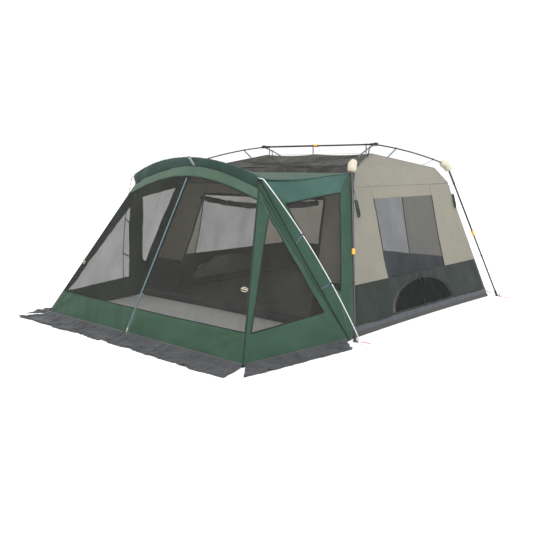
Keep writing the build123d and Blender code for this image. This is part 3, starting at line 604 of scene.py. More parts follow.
def eave(side, end):
    """The cabin's corner at the eave seam."""
    return wall_corner(side, end, EAVE)


def ring(side, end):
    """The roof's corner between its steep tier and its slopes."""
    return np.array([side * RING[0], CABIN_Y + end * RING[1], RING[2]])


def ridge(side):
    """The end of the fabric ridge."""
    return np.array([side * RIDGE_X, CABIN_Y, RIDGE_Z])


def roof_shape(seed, sag, wave, lines):
    """How a roof panel sags between its seams: a fall between ridge and eave, and soft folds."""

    def shape(points):
        x, y, z = points[:, 0], points[:, 1] - CABIN_Y, points[:, 2]
        along = np.abs(y) / RING[1]
        across = np.abs(x) / (RIDGE_X + (RING[0] - RIDGE_X) * np.clip(along, 0, 1))
        middle = np.sin(math.pi * np.clip(along, 0, 1)) * clamp_fade(1.02 - across, 0.35)
        low = clamp_fade(RIDGE_Z - z, 0.05) * clamp_fade(z - EAVE, 0.05)
        move = -sag * middle + wave * low * ripple(points * lines, seed, 0.5,
                                                   3) * clamp_fade(1.0 - across, 0.2)
        ridge_dip = -0.018 * np.sin(math.pi * np.clip((x / RIDGE_X + 1) % 1, 0,
                                                      1)) * clamp_fade(0.35 - along, 0.35)
        move += ridge_dip * (np.abs(x) < RIDGE_X)
        moved = points.copy()
        moved[:, 2] += move
        return moved

    return shape


# ---------------------------------------------------------------- cabin: floor, walls, windows


def make_floor():
    """The groundsheet: a floor with soft folds in a grey with painted shade, and its turned-up edge in two
    tones, a lit upper half and a lower half in painted shade.
    """
    u = np.linspace(-1, 1, 61)
    across, along = np.meshgrid(u, u, indexing="ij")
    bow = 0.035
    x = across * (HALF_WIDTH - bow * (1 - along**2))
    y = along * (HALF_DEPTH - bow * (1 - across**2)) + CABIN_Y
    flat = np.stack([x, y, np.full_like(x, 0.004)], -1)
    points = flat.reshape(-1, 3)
    rim = clamp_fade(1 - np.maximum(np.abs(across), np.abs(along)).ravel(), 0.04)
    points[:, 2] += 0.004 * rim * np.clip(1 + ripple(points, 3, 0.6, 3), 0, 3)
    # the floor sheet gets the grey with painted shade
    floor = cloth_piece(
        "floor_sheet", [points.reshape(flat.shape)], SHADED_FLOOR_GREY, hint=(0, 0, 1), nodes=("groundsheet",),
        slot="ground_cloth", thick=0.0012, sheet=False,
    )
    # grey rows hold the lower half of the edge fold in painted shade, blue rows the lit upper half
    grey, blue = [], []
    for side, _ in SIDES:
        shape, _ = side_wall_shape(side)
        t = np.linspace(-1, 1, 90)
        foot = np.stack([side * (HALF_WIDTH - bow * (1 - t**2)), CABIN_Y + t * HALF_DEPTH, 0 * t + 0.003], -1)
        top = shape(np.stack([side_point(side, CABIN_Y + s * (HALF_DEPTH - END_LEAN * TUB),
                                         TUB + 0.003) for s in t]))
        middle = foot * 0.55 + top * 0.45
        middle[:, 0] += side * 0.008 * (1 - t**2)
        grey.append(outward(ruled(foot, middle, 5), (side, 0, 0)))
        blue.append(outward(ruled(middle, top, 5), (side, 0, 0)))
    for end, _ in ENDS:
        shape, _ = end_wall_shape(end)
        t = np.linspace(-1, 1, 100)
        foot = np.stack([t * HALF_WIDTH, CABIN_Y + end * (HALF_DEPTH - bow * (1 - t**2)), 0 * t + 0.003], -1)
        top = shape(np.stack([end_point(end, s * (HALF_WIDTH - SIDE_LEAN * TUB), TUB + 0.003) for s in t]))
        middle = foot * 0.55 + top * 0.45
        middle[:, 1] += end * 0.008 * (1 - t**2)
        grey.append(outward(ruled(foot, middle, 5), (0, end, 0)))
        blue.append(outward(ruled(middle, top, 5), (0, end, 0)))
    for name, grids, material in (("floor_edge_painted_shade", grey, SHADED_FLOOR_GREY), ("floor_edge_lit_half", blue, LIT_TUB_BLUE)):
        points, faces = [], []
        for grid in grids:
            faces += grid_faces(*grid.shape[:2], sum(len(p) for p in points))
            flat_points = grid.reshape(-1, 3).copy()
            flat_points += 0.0025 * ripple(flat_points * (1, 1, 2.5), 8, 0.16,
                                           2)[:, None] * np.array([0.7, 0.7, 0.2])
            flat_points[:, 2] = np.maximum(flat_points[:, 2], 0.001)
            points.append(flat_points)
        obj = mesh_object(name, np.concatenate(points), faces, material)
        solid = obj.modifiers.new("cloth", "SOLIDIFY")
        solid.thickness = 0.0012
        solid.offset = -1
        finish_piece(obj, "root", ("groundsheet",), "ground_cloth")


def hatch_arc(side, count, grow=0.0):
    """Points along the half-moon's curve on a side wall."""
    t = np.linspace(0, math.pi, count)
    y = HATCH_Y + (HATCH_HALF + grow) * np.cos(t)
    z = HATCH_Z + (HATCH_TALL + grow) * np.sin(t)
    return np.stack([side_point(side, a, b) for a, b in zip(y, z)])


def lower_side_grid(side):
    """The green side panel as one grid that runs from the vent's outline out to the panel's edges."""
    centre = np.array([HATCH_Y, HATCH_Z + 0.05])
    corners = []
    for z in (TUB, SILL):
        for end, _ in ENDS:
            away = wall_corner(side, end, z)[1:] - centre
            corners.append(math.atan2(away[1], away[0]))
    angles = np.sort(np.concatenate([np.linspace(-math.pi, math.pi, 160, endpoint=False), corners]))
    rows = []
    for angle in angles:
        way = np.array([math.cos(angle), math.sin(angle)])
        limits = [((0, 1), SILL), ((0, -1), -TUB)]
        limits += [((end, END_LEAN), HALF_DEPTH + end * CABIN_Y) for end, _ in ENDS]
        outer = min((limit - np.dot(n, centre)) / np.dot(n, way) for n,
                    limit in limits if np.dot(n, way) > 1e-9)
        y, z = way[0] / HATCH_HALF, way[1] / HATCH_TALL
        a, b, c = y * y + z * z, 2 * z * 0.05 / HATCH_TALL, (0.05 / HATCH_TALL) ** 2 - 1
        inner = (-b + math.sqrt(b * b - 4 * a * c)) / (2 * a)
        if way[1] < -1e-9:
            inner = min(inner, 0.05 / -way[1])
        rows.append([side_point(side, *(centre + way * (inner + (outer - inner) * k)))
                     for k in np.linspace(0, 1, 18)])
    rows.append(rows[0])
    return np.array(rows)


def door_edge(side, z):
    """A point on the edge of the cabin doorway."""
    share = (z - TUB) / (HEADER - TUB)
    return end_point(-1, side * (DOOR_FOOT - (DOOR_FOOT - DOOR_TOP) * share), z)


def seam_tapes(name, runs, shape, normal, material=BINDING, width=0.014, body="root", lift=0.001):
    """Binding tapes sewn along runs of corners on a draped panel."""
    pieces = []
    for run in runs:
        path = shape(polyline(run)) + np.asarray(normal) * lift
        pieces.append(tape(path, normal, width))
    obj = tubes_object(name, pieces, material)
    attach(obj, body)
    return obj


def make_side_wall(side, word):
    """One cabin side: green lower panel, vent, beige upper panels, header, window net and bindings."""
    shape, normal = side_wall_shape(side)
    cloth_piece(f"{word}_lower_cloth", [lower_side_grid(side)], CABIN_GREEN, shape, normal,
                nodes=(f"{word}_lower_wall",), slot="green_cloth")
    beige = []
    for end, seam in ((-1, WINDOW_FRONT), (1, WINDOW_BACK)):
        beige.append(
            patch(side_point(side, seam, SILL), wall_corner(side, end, SILL), wall_corner(side, end, EAVE),
                  side_point(side, seam, EAVE))
        )
    beige.append(
        patch(side_point(side, WINDOW_FRONT, HEADER), side_point(side, WINDOW_BACK, HEADER),
              side_point(side, WINDOW_BACK, EAVE), side_point(side, WINDOW_FRONT, EAVE))
    )
    cloth_piece(f"{word}_upper_cloth", beige, BEIGE, shape, normal, nodes=(f"{word}_upper_wall",),
                slot="beige_cloth", thick=0)
    corners = [side_point(side, WINDOW_FRONT, SILL), side_point(side, WINDOW_BACK, SILL),
               side_point(side, WINDOW_BACK, HEADER), side_point(side, WINDOW_FRONT, HEADER)]
    cloth_piece(f"{word}_window_net", [patch(*corners)], WINDOW_NET,
                lambda p: shape(p) - normal * WINDOW_NET_GAP,
                normal,
                nodes=("cabin_windows",), slot="window_mesh", thick=0)
    seam_tapes(f"{word}_window_binding", [[corners[0], corners[3]], [corners[1], corners[2]]], shape, normal,
               width=0.018)
    seam_tapes(
        f"{word}_wall_seams",
        [
            [side_point(side, WINDOW_FRONT, HEADER), side_point(side, WINDOW_FRONT, EAVE)],
            [side_point(side, WINDOW_BACK, HEADER), side_point(side, WINDOW_BACK, EAVE)],
            [wall_corner(side, -1, EAVE - 0.004), wall_corner(side, 1, EAVE - 0.004)],
            [corners[3], corners[2]],
        ],
        shape, normal, BEIGE_SEAM, 0.010,
    )
    make_vent(side, word, shape, normal)


def make_vent(side, word, shape, normal):
    """The half-moon vent: its net flap, the zip round its curve, and its pulls."""
    u = np.linspace(-1, 1, 49)
    v = np.linspace(0, 1, 17)
    y = HATCH_Y + HATCH_HALF * u
    rise = HATCH_TALL * np.sqrt(np.clip(1 - u**2, 0, 1))
    grid = np.stack([[side_point(side, a, HATCH_Z + b * k) for a, b in zip(y, rise)] for k in v])

    def flap(points):
        moved = shape(points)
        return moved + normal * (0.004 * ripple(points, 60 + side, 0.25, 3) - 0.004)[:, None]

    cloth_piece(f"{word}_vent_net", [grid], HATCH_NET, flap, normal, body=f"{word}_hatch",
                nodes=(f"{word}_hatch",), slot="black_mesh", thick=0)
    edge = flap(hatch_arc(side, 70, -0.008)) + normal * 0.004
    pieces = [tape(edge, normal, 0.020)]
    base = flap(line(side_point(side, HATCH_Y - HATCH_HALF, HATCH_Z + 0.006),
                     side_point(side, HATCH_Y + HATCH_HALF, HATCH_Z + 0.006), 40)) + normal * 0.004
    pieces.append(tape(base, normal, 0.016))
    binding = tubes_object(f"{word}_vent_zip", pieces, BINDING)
    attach(binding, f"{word}_hatch")
    pulls = []
    for y, z, drop in ((HATCH_Y - 0.03, HATCH_Z + HATCH_TALL - 0.012, 0.05),
                       (HATCH_Y + 0.05, HATCH_Z + HATCH_TALL - 0.014, 0.045),
                       (HATCH_Y - 0.02, HATCH_Z + 0.10, 0.095)):
        top = flap(side_point(side, y, z)[None])[0] + normal * 0.012
        low = flap(side_point(side, y + 0.012, z - drop)[None])[0] + normal * 0.016
        path = line(top, low, 9)
        path += np.sin(np.linspace(0, math.pi, 9))[:, None] * normal * 0.006
        pulls.append(tube(path, 0.0035, 8))
    obj = tubes_object(f"{word}_vent_pulls", pulls, GUY_CORD)
    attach(obj, f"{word}_hatch")


def end_corners(end, half, low, high):
    """The corners of an end wall's middle panel, between two heights."""
    spots = ((-half, low), (half, low), (half, high), (-half, high))
    return [end_point(end, across, z) for across, z in spots]


def make_end_wall(end, word):
    """The cabin's front wall with its doorway, or its back wall with its window."""
    shape, normal = end_wall_shape(end)
    if end < 0:
        lower = [patch(door_edge(s, TUB), wall_corner(s, -1, TUB), wall_corner(s, -1, SILL),
                       door_edge(s, SILL)) for s in (1, -1)]
        half = DOOR_TOP
        inner = [(door_edge(s, SILL), door_edge(s, HEADER)) for s in (1, -1)]
    else:
        lower = [patch(wall_corner(-1, 1, TUB), wall_corner(1, 1, TUB), wall_corner(1, 1, SILL),
                       wall_corner(-1, 1, SILL))]
        half = BACK_WINDOW
        inner = [(end_point(1, s * half, SILL), end_point(1, s * half, HEADER)) for s in (1, -1)]
    cloth_piece(f"{word}_lower_cloth", lower, CABIN_GREEN, shape, normal, nodes=(f"{word}_lower_wall",),
                slot="green_cloth")
    beige = []
    for s, (low, high) in zip((1, -1), inner):
        beige.append(patch(low, wall_corner(s, end, SILL), wall_corner(s, end, HEADER), high))
        beige.append(patch(high, wall_corner(s, end, HEADER), wall_corner(s, end, EAVE),
                           end_point(end, s * half, EAVE)))
    beige.append(patch(*end_corners(end, half, HEADER, EAVE)))
    cloth_piece(f"{word}_upper_cloth", beige, BEIGE, shape, normal, nodes=(f"{word}_upper_wall",),
                slot="beige_cloth", thick=0)
    if end > 0:
        corners = end_corners(1, half, SILL, HEADER)
        cloth_piece("back_window_net", [patch(*corners)], WINDOW_NET,
                    lambda p: shape(p) - normal * WINDOW_NET_GAP, normal,
                    nodes=("cabin_windows",), slot="window_mesh", thick=0)
        runs = [[corners[0], corners[3]], [corners[1], corners[2]], [corners[3], corners[2]]]
    else:
        runs = [[door_edge(s, TUB), door_edge(s, SILL), door_edge(s, HEADER)] for s in (1, -1)]
        runs.append([door_edge(-1, HEADER), door_edge(1, HEADER)])
    seam_tapes(f"{word}_opening_binding", runs, shape, normal, width=0.036 if end < 0 else 0.018)
    seam_tapes(f"{word}_wall_seams", [[wall_corner(-1, end, EAVE - 0.004),
                                       wall_corner(1, end, EAVE - 0.004)]],
               shape, normal, BEIGE_SEAM, 0.010)


TIE_SPOTS = (-0.93, -0.45, 0.0, 0.45, 0.93)


def make_door_roll():
    """The rolled-up cabin door, in a shallow sag, with its ties."""
    high = box("door_roll")[1]
    half = high[0] - 0.03
    t = np.linspace(-1, 1, 90)
    drop = 0.075 * (1 - t**2)
    y = high[1] - 0.048 - 0.018 * (1 - t**2)
    path = np.stack([t * half, y, high[2] - 0.040 - drop], -1)
    pinch = 1 - 0.22 * sum(np.exp(-(((t - k) / 0.035) ** 2)) for k in TIE_SPOTS)
    points, faces = tube(path, 0.044 * pinch, 20, 0.8)
    fold = ripple(points * (1.2, 5, 5), 21, 0.25, 3)
    centre = np.repeat(path, 20, axis=0)
    away = points - centre
    points = centre + away * (1 + 0.13 * fold)[:, None]
    obj = mesh_object("rolled_door", points, faces, DOOR_CLOTH)
    finish_piece(obj, "root", ("door_roll",), "black_mesh")
    ties = []
    for k in TIE_SPOTS:
        index = int((k + 1) / 2 * 89)
        angles = np.linspace(0, 2 * math.pi, 25)
        loop = path[index] + np.stack([0 * angles, 0.047 * np.cos(angles), 0.039 * np.sin(angles)], -1)
        ties.append(tape(loop, (1, 0, 0), 0.003, 0.008))
    obj = tubes_object("door_roll_ties", ties, GREY_TAB)
    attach(obj, "root")


make_floor()
for side, word in SIDES:
    make_side_wall(side, word)
for end, word in ENDS:
    make_end_wall(end, word)
make_door_roll()

# ---------------------------------------------------------------- cabin roof


def make_roof():
    """Front net slope, back slope and both gables, with their seams."""
    for end, name, material, node, slot, wave in (
        (-1, "roof_front_net", ROOF_NET, "roof_front_mesh", "black_mesh", 0.022),
        (1, "roof_back_cloth", BEIGE, "roof_back_panel", "beige_cloth", 0.008),
    ):
        grids = [patch(eave(-1, end), eave(1, end), ring(1, end), ring(-1, end)),
                 patch(ring(-1, end), ring(1, end), ridge(1), ridge(-1))]
        shape = roof_shape(70 + end, 0.045, wave, (0.35, 1.6, 1.0))
        cloth_piece(name, grids, material, shape, (0, end * 0.3, 1), nodes=(node,), slot=slot, thick=0)
    gables = []
    for side, _ in SIDES:
        gables.append(outward(patch(eave(side, -1), eave(side, 1), ring(side, 1), ring(side, -1)),
                              (side, 0, 1)))
        gables.append(outward(patch(ring(side, -1), ring(side, 1), ridge(side), ridge(side)), (side, 0, 1)))
    cloth_piece("gable_cloth", gables, BEIGE, roof_shape(75, 0.0, 0.006, (1.4, 0.8, 1.0)), (0, 0, 1),
                nodes=("roof_gables",), slot="beige_cloth", thick=0)
    hips = []
    for side, _ in SIDES:
        for end, _ in ENDS:
            hips.append(tape(polyline([eave(side, end), ring(side, end), ridge(side)]) + (0, 0, 0.0015),
                             (side, end, 1.2), 0.012))
    hips.append(tape(line(ridge(-1), ridge(1), 30) + (0, 0, 0.001), (0, 0, 1), 0.014))
    obj = tubes_object("roof_seams", hips, BEIGE_SEAM)
    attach(obj, "root")


make_roof()

# ---------------------------------------------------------------- porch


def hoop_arc(count, lift=0.0, forward=0.0):
    """Points along the hoop's arch, lifted off it in its own plane."""
    half, spring = HOOP_SPRING
    rise = HOOP_PEAK - spring
    radius = (half**2 + rise**2) / (2 * rise)
    reach = math.asin(half / radius)
    angle = np.linspace(-reach, reach, count)
    x = (radius + lift) * np.sin(angle)
    z = HOOP_PEAK - radius + (radius + lift) * np.cos(angle)
    return np.stack([x, HOOP_FOOT_Y + HOOP_LEAN * z - forward, z], -1)


def zip_x(z):
    """Where the front zip runs at a height."""
    return ZIP_FOOT + (ZIP_TOP - ZIP_FOOT) * z / 1.765


def front_point(side, share, z, from_zip=0.0, from_edge=0.0):
    """Points on the porch's front wall, at a share of the way from the zip to a corner edge."""
    share, z = np.broadcast_arrays(np.asarray(share, float), np.asarray(z, float))
    edge = FRONT_X - (FRONT_X - FRONT_TOP[0]) * z / FRONT_TOP[1]
    x = (zip_x(z) + side * from_zip) * (1 - share) + side * (edge - from_edge) * share
    lean = FRONT_LEAN + (EDGE_LEAN - FRONT_LEAN) * share**2
    return np.stack([x, FRONT_Y + lean * z, z], -1)


def front_edge(side, z):
    """A point on the porch's front corner edge."""
    return front_point(side, 1.0, z)


def arch(share, middle, end):
    """The height of an arched seam on the porch's front wall."""
    return middle + (end - middle) * share**2


def front_row(middle, end, count=41, reach=0.992):
    """Points along an arched seam across the whole of the porch's front wall."""
    share = np.linspace(0, 1, count) * reach
    left = front_point(-1, share, arch(share, middle, end))
    right = front_point(1, share, arch(share, middle, end))
    return np.concatenate([left[:0:-1], right])


FRONT_NORMAL = np.array([0, -1, FRONT_LEAN]) / math.hypot(1, FRONT_LEAN)


def front_shape(points):
    """Folds of the porch's front wall."""
    z = points[:, 2]
    width = FRONT_X - (FRONT_X - FRONT_TOP[0]) * z / FRONT_TOP[1]
    across = np.clip(np.abs(points[:, 0]) / width, 0, 1)
    edge = clamp_fade(1 - across, 0.06) * clamp_fade(np.abs(points[:, 0] - zip_x(z)), 0.06)
    move = 0.008 * edge * ripple(points * (1.0, 1, 0.5), 91, 0.4, 3)
    for side, _ in SIDES:
        for z_held, reach in ((0.02, 0.6), (HEM, 0.45), (1.52, 0.5)):
            anchor = front_edge(side, z_held)
            move += 0.018 * edge * creases(points, anchor, FRONT_NORMAL, 13, reach,
                                           95 + side + int(z_held * 7))
    move += 0.010 * edge * creases(points, front_point(1, 0.0, 0.05), FRONT_NORMAL, 9, 0.4, 99)
    return points + move[:, None] * FRONT_NORMAL


def porch_roof_shape(points):
    """How the porch roof sags between the hoop and the cabin."""
    front = HOOP_FOOT_Y + HOOP_LEAN * 1.9
    along = np.clip((points[:, 1] - front) / (REAR[1] - front), 0, 1)
    across = np.clip(np.abs(points[:, 0]) / 1.44, 0, 1)
    move = -0.075 * np.sin(math.pi * along) * (1 - 0.8 * across**4)
    free = clamp_fade(along, 0.1) * clamp_fade(1 - along, 0.1)
    move += 0.007 * ripple(points * (1, 0.5, 1), 81, 0.45, 3) * free
    for side, _ in SIDES:
        move += 0.010 * creases(points, REAR * (side, 1, 1), (0, 0, 1), 12, 0.45, 84 + side) * free
    moved = points.copy()
    moved[:, 2] += move
    return moved


def make_porch_top():
    """The porch roof, the brow, the band below it, and the sleeve round the hoop."""
    count = 81
    arc = hoop_arc(count, 0.010, 0.002)
    t = np.linspace(-1, 1, count)
    rear = np.stack([t * REAR[0], 0 * t + REAR[1], REAR[2] + 0.004 + 0 * t], -1)
    eave_line = np.stack([t * 1.392, 0 * t + CABIN_Y - 1.008, 0 * t + 1.806], -1)
    grid = np.concatenate([ruled(arc, rear, 37), ruled(rear, eave_line, 6)[1:]])

    cloth_piece("porch_roof_cloth", [grid], GREEN, porch_roof_shape, (0, 0, 1), nodes=("porch_roof",),
                slot="green_cloth")
    top = hoop_arc(count, 0.009, 0.010) * (0.985, 1, 1)
    seam = front_row(BROW_PEAK, FRONT_TOP[1], 41, 0.985)
    brow = ruled(top, seam, 12)
    bulge = np.sin(np.linspace(0, math.pi, 12))[:, None]
    brow[..., 2] += 0.010 * bulge * (1 - 0.6 * t[None] ** 2)
    brow[..., 1] -= 0.010 * bulge

    def brow_shape(points):
        held = clamp_fade(np.abs(np.abs(points[:, 0]) - 0.02), 0.1)
        gathers = 0.004 * creases(points, (0, seam[40][1], BROW_PEAK), FRONT_NORMAL, 14, 0.5, 88)
        moved = points.copy()
        moved[:, 2] += 0.0035 * held * ripple(points, 86, 0.22, 3)
        moved[:, 1] += 0.0035 * held * ripple(points, 87, 0.22, 3) + gathers
        return moved

    cloth_piece("porch_brow_cloth", [brow], BROW_GREEN, brow_shape, (0, -1, 1), nodes=("porch_brow",),
                slot="dark_green_cloth")
    band = front_row(BAND_PEAK, BAND_END, 41, 0.995)
    wide_seam = front_row(BROW_PEAK, FRONT_TOP[1], 41, 0.995)
    cloth_piece("front_band_cloth", [ruled(wide_seam, band, 9)], BAND_GREEN, front_shape, FRONT_NORMAL,
                nodes=("porch_front_band",), slot="green_cloth")
    sleeve_path = hoop_arc(121, 0.003, 0.0)
    gather = 1 + 0.08 * np.sin(np.linspace(0, 160, 121)) + 0.05 * np.sin(np.linspace(0, 67, 121))
    points, faces = tube(sleeve_path[2:-2], 0.0125 * gather[2:-2], 14)
    sleeve = mesh_object("hoop_sleeve", points, faces, BROW_GREEN)
    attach(sleeve, "root")
    middle = 42
    tab = ruled(hoop_arc(81, 0.019, 0.012)[middle - 1:middle + 2],
                front_row(BROW_PEAK, FRONT_TOP[1])[middle - 1:middle + 2], 14)
    tab[..., 2] += 0.014 * np.sin(np.linspace(0.5, math.pi, 14))[:, None]
    tab[..., 1] -= 0.016 * np.sin(np.linspace(0.5, math.pi, 14))[:, None]
    cloth_piece("brow_tab", [tab], GREY_TAB, None, (0, -1, 1), thick=0.003, sheet=False)
    lines = [
        tape(front_shape(wide_seam) + FRONT_NORMAL * 0.002, FRONT_NORMAL, 0.010),
        tape(front_shape(band) + FRONT_NORMAL * 0.002, FRONT_NORMAL, 0.016),
    ]
    obj = tubes_object("front_band_seams", lines, DARK_GREEN)
    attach(obj, "root")


def make_doors():
    """Both halves of the porch door: net, hem, zip tape with its teeth, and tie loop."""
    share = np.linspace(0, 1, 49)
    gap = 0.009
    for side, word in SIDES:
        low = front_point(side, share, HEM, gap, gap)
        foot = front_point(side, share, 0.012, gap, gap)
        high = front_point(side, share, arch(share, BAND_PEAK - 0.004, BAND_END - 0.004), gap, gap)
        body = f"{word}_door"
        cloth_piece(f"{word}_door_net", [ruled(low, high, 45)], SCREEN, front_shape, FRONT_NORMAL, body=body,
                    nodes=(f"{word}_door_mesh",), slot="screen_mesh", thick=0)
        cloth_piece(f"{word}_hem_cloth", [ruled(foot, low, 13)], HEM_GREEN, front_shape, FRONT_NORMAL,
                    body=body,
                    nodes=(f"{word}_door_hem",), slot="green_cloth")
        z = np.linspace(0.012, ZIP_HIGH - 0.004, 60)
        path = front_point(side, 0.0, z, 0.0085) + FRONT_NORMAL * 0.002
        obj = tubes_object(f"{word}_zip_cloth", [tape(path, FRONT_NORMAL, 0.0160, 0.0012)], ZIP_TAPE)
        finish_piece(obj, body, (f"{word}_zip_tape",), "zip_tape")
        teeth = []
        for k in np.arange(0.02, ZIP_HIGH - 0.01, 0.011):
            a = front_point(side, 0.0, k, 0.0012) + FRONT_NORMAL * 0.004
            b = front_point(side, 0.0, k + side * 0.0015, 0.0056) + FRONT_NORMAL * 0.004
            teeth.append(tape(line(a, b, 3), FRONT_NORMAL, 0.0065, 0.0012))
        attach(tubes_object(f"{word}_zip_teeth", teeth, ZIP_TEETH), body)
        edges = [front_shape(low), front_shape(line(low[-1], high[-1], 40)), front_shape(foot)]
        tapes = [tape(edge + FRONT_NORMAL * 0.0015, FRONT_NORMAL, 0.011) for edge in edges]
        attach(tubes_object(f"{word}_door_binding", tapes, DARK_GREEN), body)
        make_toggle(side, word)


def make_toggle(side, word):
    """The cream cord loop and toggle that tie the rolled door half back."""
    low, high = box(f"{word}_door_toggle")
    y = low[1] - 0.002
    root = front_edge(side, 0.66) - np.array([side * 0.014, 0.010, 0])
    end = np.array([low[0] if side > 0 else high[0], y, low[2]])
    t = np.linspace(0, 1, 14)
    upper = root * (1 - t[:, None]) + end * t[:, None]
    lower = upper.copy()
    upper[:, 2] += 0.018 * np.sin(math.pi * t) + 0.012
    lower[:, 2] -= 0.016 * np.sin(math.pi * t)
    pieces = [tube(upper, 0.0032, 8), tube(lower, 0.0032, 8)]
    obj = tubes_object(f"{word}_toggle_loop", pieces, CREAM_CORD)
    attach(obj, f"{word}_door")


def triangle_normal(a, b, c, side):
    """The outward normal of a porch side panel."""
    normal = np.cross(np.asarray(b) - a, np.asarray(c) - a)
    normal /= np.linalg.norm(normal)
    return normal if normal[0] * side > 0 else -normal


def make_porch_side(side, word):
    """One side of the porch: the front and rear panels round their nets."""
    flip = np.array([side, 1, 1])
    corner = front_edge(side, 0.002)
    shoulder = front_edge(side, 1.644)
    bend, foot, rear = BEND * flip, FOOT * flip, REAR * flip - (0, 0, 0.012)
    front, back = FRONT_MESH * flip, REAR_MESH * flip
    front_normal = triangle_normal(corner, foot, shoulder, side)
    rear_normal = triangle_normal(bend, foot, rear, side)

    def flatten(points, origin, normal):
        points = np.atleast_2d(points)
        return points - ((points - origin) @ normal)[:, None] * normal

    front = flatten(front, corner, front_normal)
    back = flatten(back, bend, rear_normal)

    def panel_shape(normal, anchors, seed):
        def shape(points):
            move = 0.007 * ripple(points * (1, 1, 0.6), seed, 0.35, 3)
            near = np.full(len(points), 9.0)
            for a, b in anchors:
                along = (b - a) / np.linalg.norm(b - a)
                away = points - a
                gap = np.linalg.norm(away - (away @ along)[:, None] * along, axis=1)
                near = np.minimum(near, gap)
            edge = clamp_fade(near, 0.07)
            for index, (a, _) in enumerate(anchors):
                move += 0.014 * creases(points, a, normal, 13, 0.5, seed + index)
            return points + (move * edge)[:, None] * normal

        return shape

    front_edges = [(corner, foot), (foot, shoulder), (shoulder, corner)]
    rear_edges = [(bend, foot), (foot, rear), (rear, bend)]
    front_fold = panel_shape(front_normal, front_edges, 110 + side)
    rear_fold = panel_shape(rear_normal, rear_edges, 120 + side)
    grids = [
        patch(corner, foot, front[1], front[0]),
        patch(corner, front[0], front[2], shoulder),
        patch(foot, shoulder, front[2], front[1]),
    ]
    panels = {"nodes": (f"{word}_side_panels",), "slot": "green_cloth"}
    cloth_piece(f"{word}_porch_front_cloth", grids, GREEN, front_fold, front_normal, **panels)
    cloth_piece(f"{word}_porch_gusset", [patch(bend, shoulder, foot, foot)], GREEN, None,
                triangle_normal(bend, shoulder, foot, side), **panels)
    grids = [
        patch(bend, rear, back[1], back[0]),
        patch(rear, foot, back[2], back[1]),
        patch(foot, foot, back[3], back[2]),
        patch(bend, back[0], back[3], foot),
    ]
    cloth_piece(f"{word}_porch_rear_cloth", grids[1:], GREEN, rear_fold, rear_normal, **panels)
    cloth_piece(f"{word}_porch_valance", grids[:1], VALANCE, rear_fold, rear_normal, **panels)
    edge_line = line(hoop_arc(3, 0.010, 0.002)[1 + side], REAR * flip + (0, 0, 0.004), 40)
    strip = ruled(porch_roof_shape(edge_line), rear_fold(line(bend, rear, 40)), 4)
    cloth_piece(f"{word}_valance_top", [strip], VALANCE, None, rear_normal, **panels)
    join = patch(rear, foot, wall_corner(side, -1, 0.02), wall_corner(side, -1, EAVE))
    tip = np.array([side * 1.392, CABIN_Y - 1.008, 1.800])
    flap = patch(rear, wall_corner(side, -1, EAVE), tip, tip, 0.03)
    cloth_piece(f"{word}_porch_flap", [flap], GREEN, None, (side, -0.4, 0.2), slot="green_cloth")
    cloth_piece(f"{word}_porch_join", [join], GREEN, None, (side, -0.4, 0.2), slot="green_cloth")
    net_front = patch(front[0], front[1], front[2], front[2])
    net_back = patch(back[0], back[1], back[2], back[3])
    for name, grid, normal, fold in (("front", net_front, front_normal, front_fold),
                                     ("rear", net_back, rear_normal, rear_fold)):
        cloth_piece(f"{word}_porch_{name}_net", [grid], SCREEN,
                    lambda p, n=normal, f=fold: f(p) - n * PORCH_NET_GAP, normal,
                    nodes=(f"{word}_side_meshes",), slot="screen_mesh", thick=0)
    seam_tapes(f"{word}_front_net_binding", [[front[0], front[1], front[2], front[0]]], front_fold,
               front_normal, width=0.012, lift=0.0015)
    seam_tapes(f"{word}_rear_net_binding", [[back[0], back[1], back[2], back[3], back[0]]], rear_fold,
               rear_normal, width=0.012, lift=0.0015)
    centre = front_fold(polyline([foot * 0.97 + front[1] * 0.03, shoulder * 0.55 + front[2] * 0.45]))
    obj = tubes_object(
        f"{word}_hoop_seams",
        [tape(centre + front_normal * 0.002, front_normal, 0.009),
         tape(polyline([foot, bend]) + rear_normal * 0.002, (side, -0.4, 0.3), 0.014),
         tape(polyline([corner, shoulder]) + (side * 0.001, -0.001, 0), (side, -1, 0.3), 0.012)],
        DARK_GREEN,
    )
    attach(obj, "root")


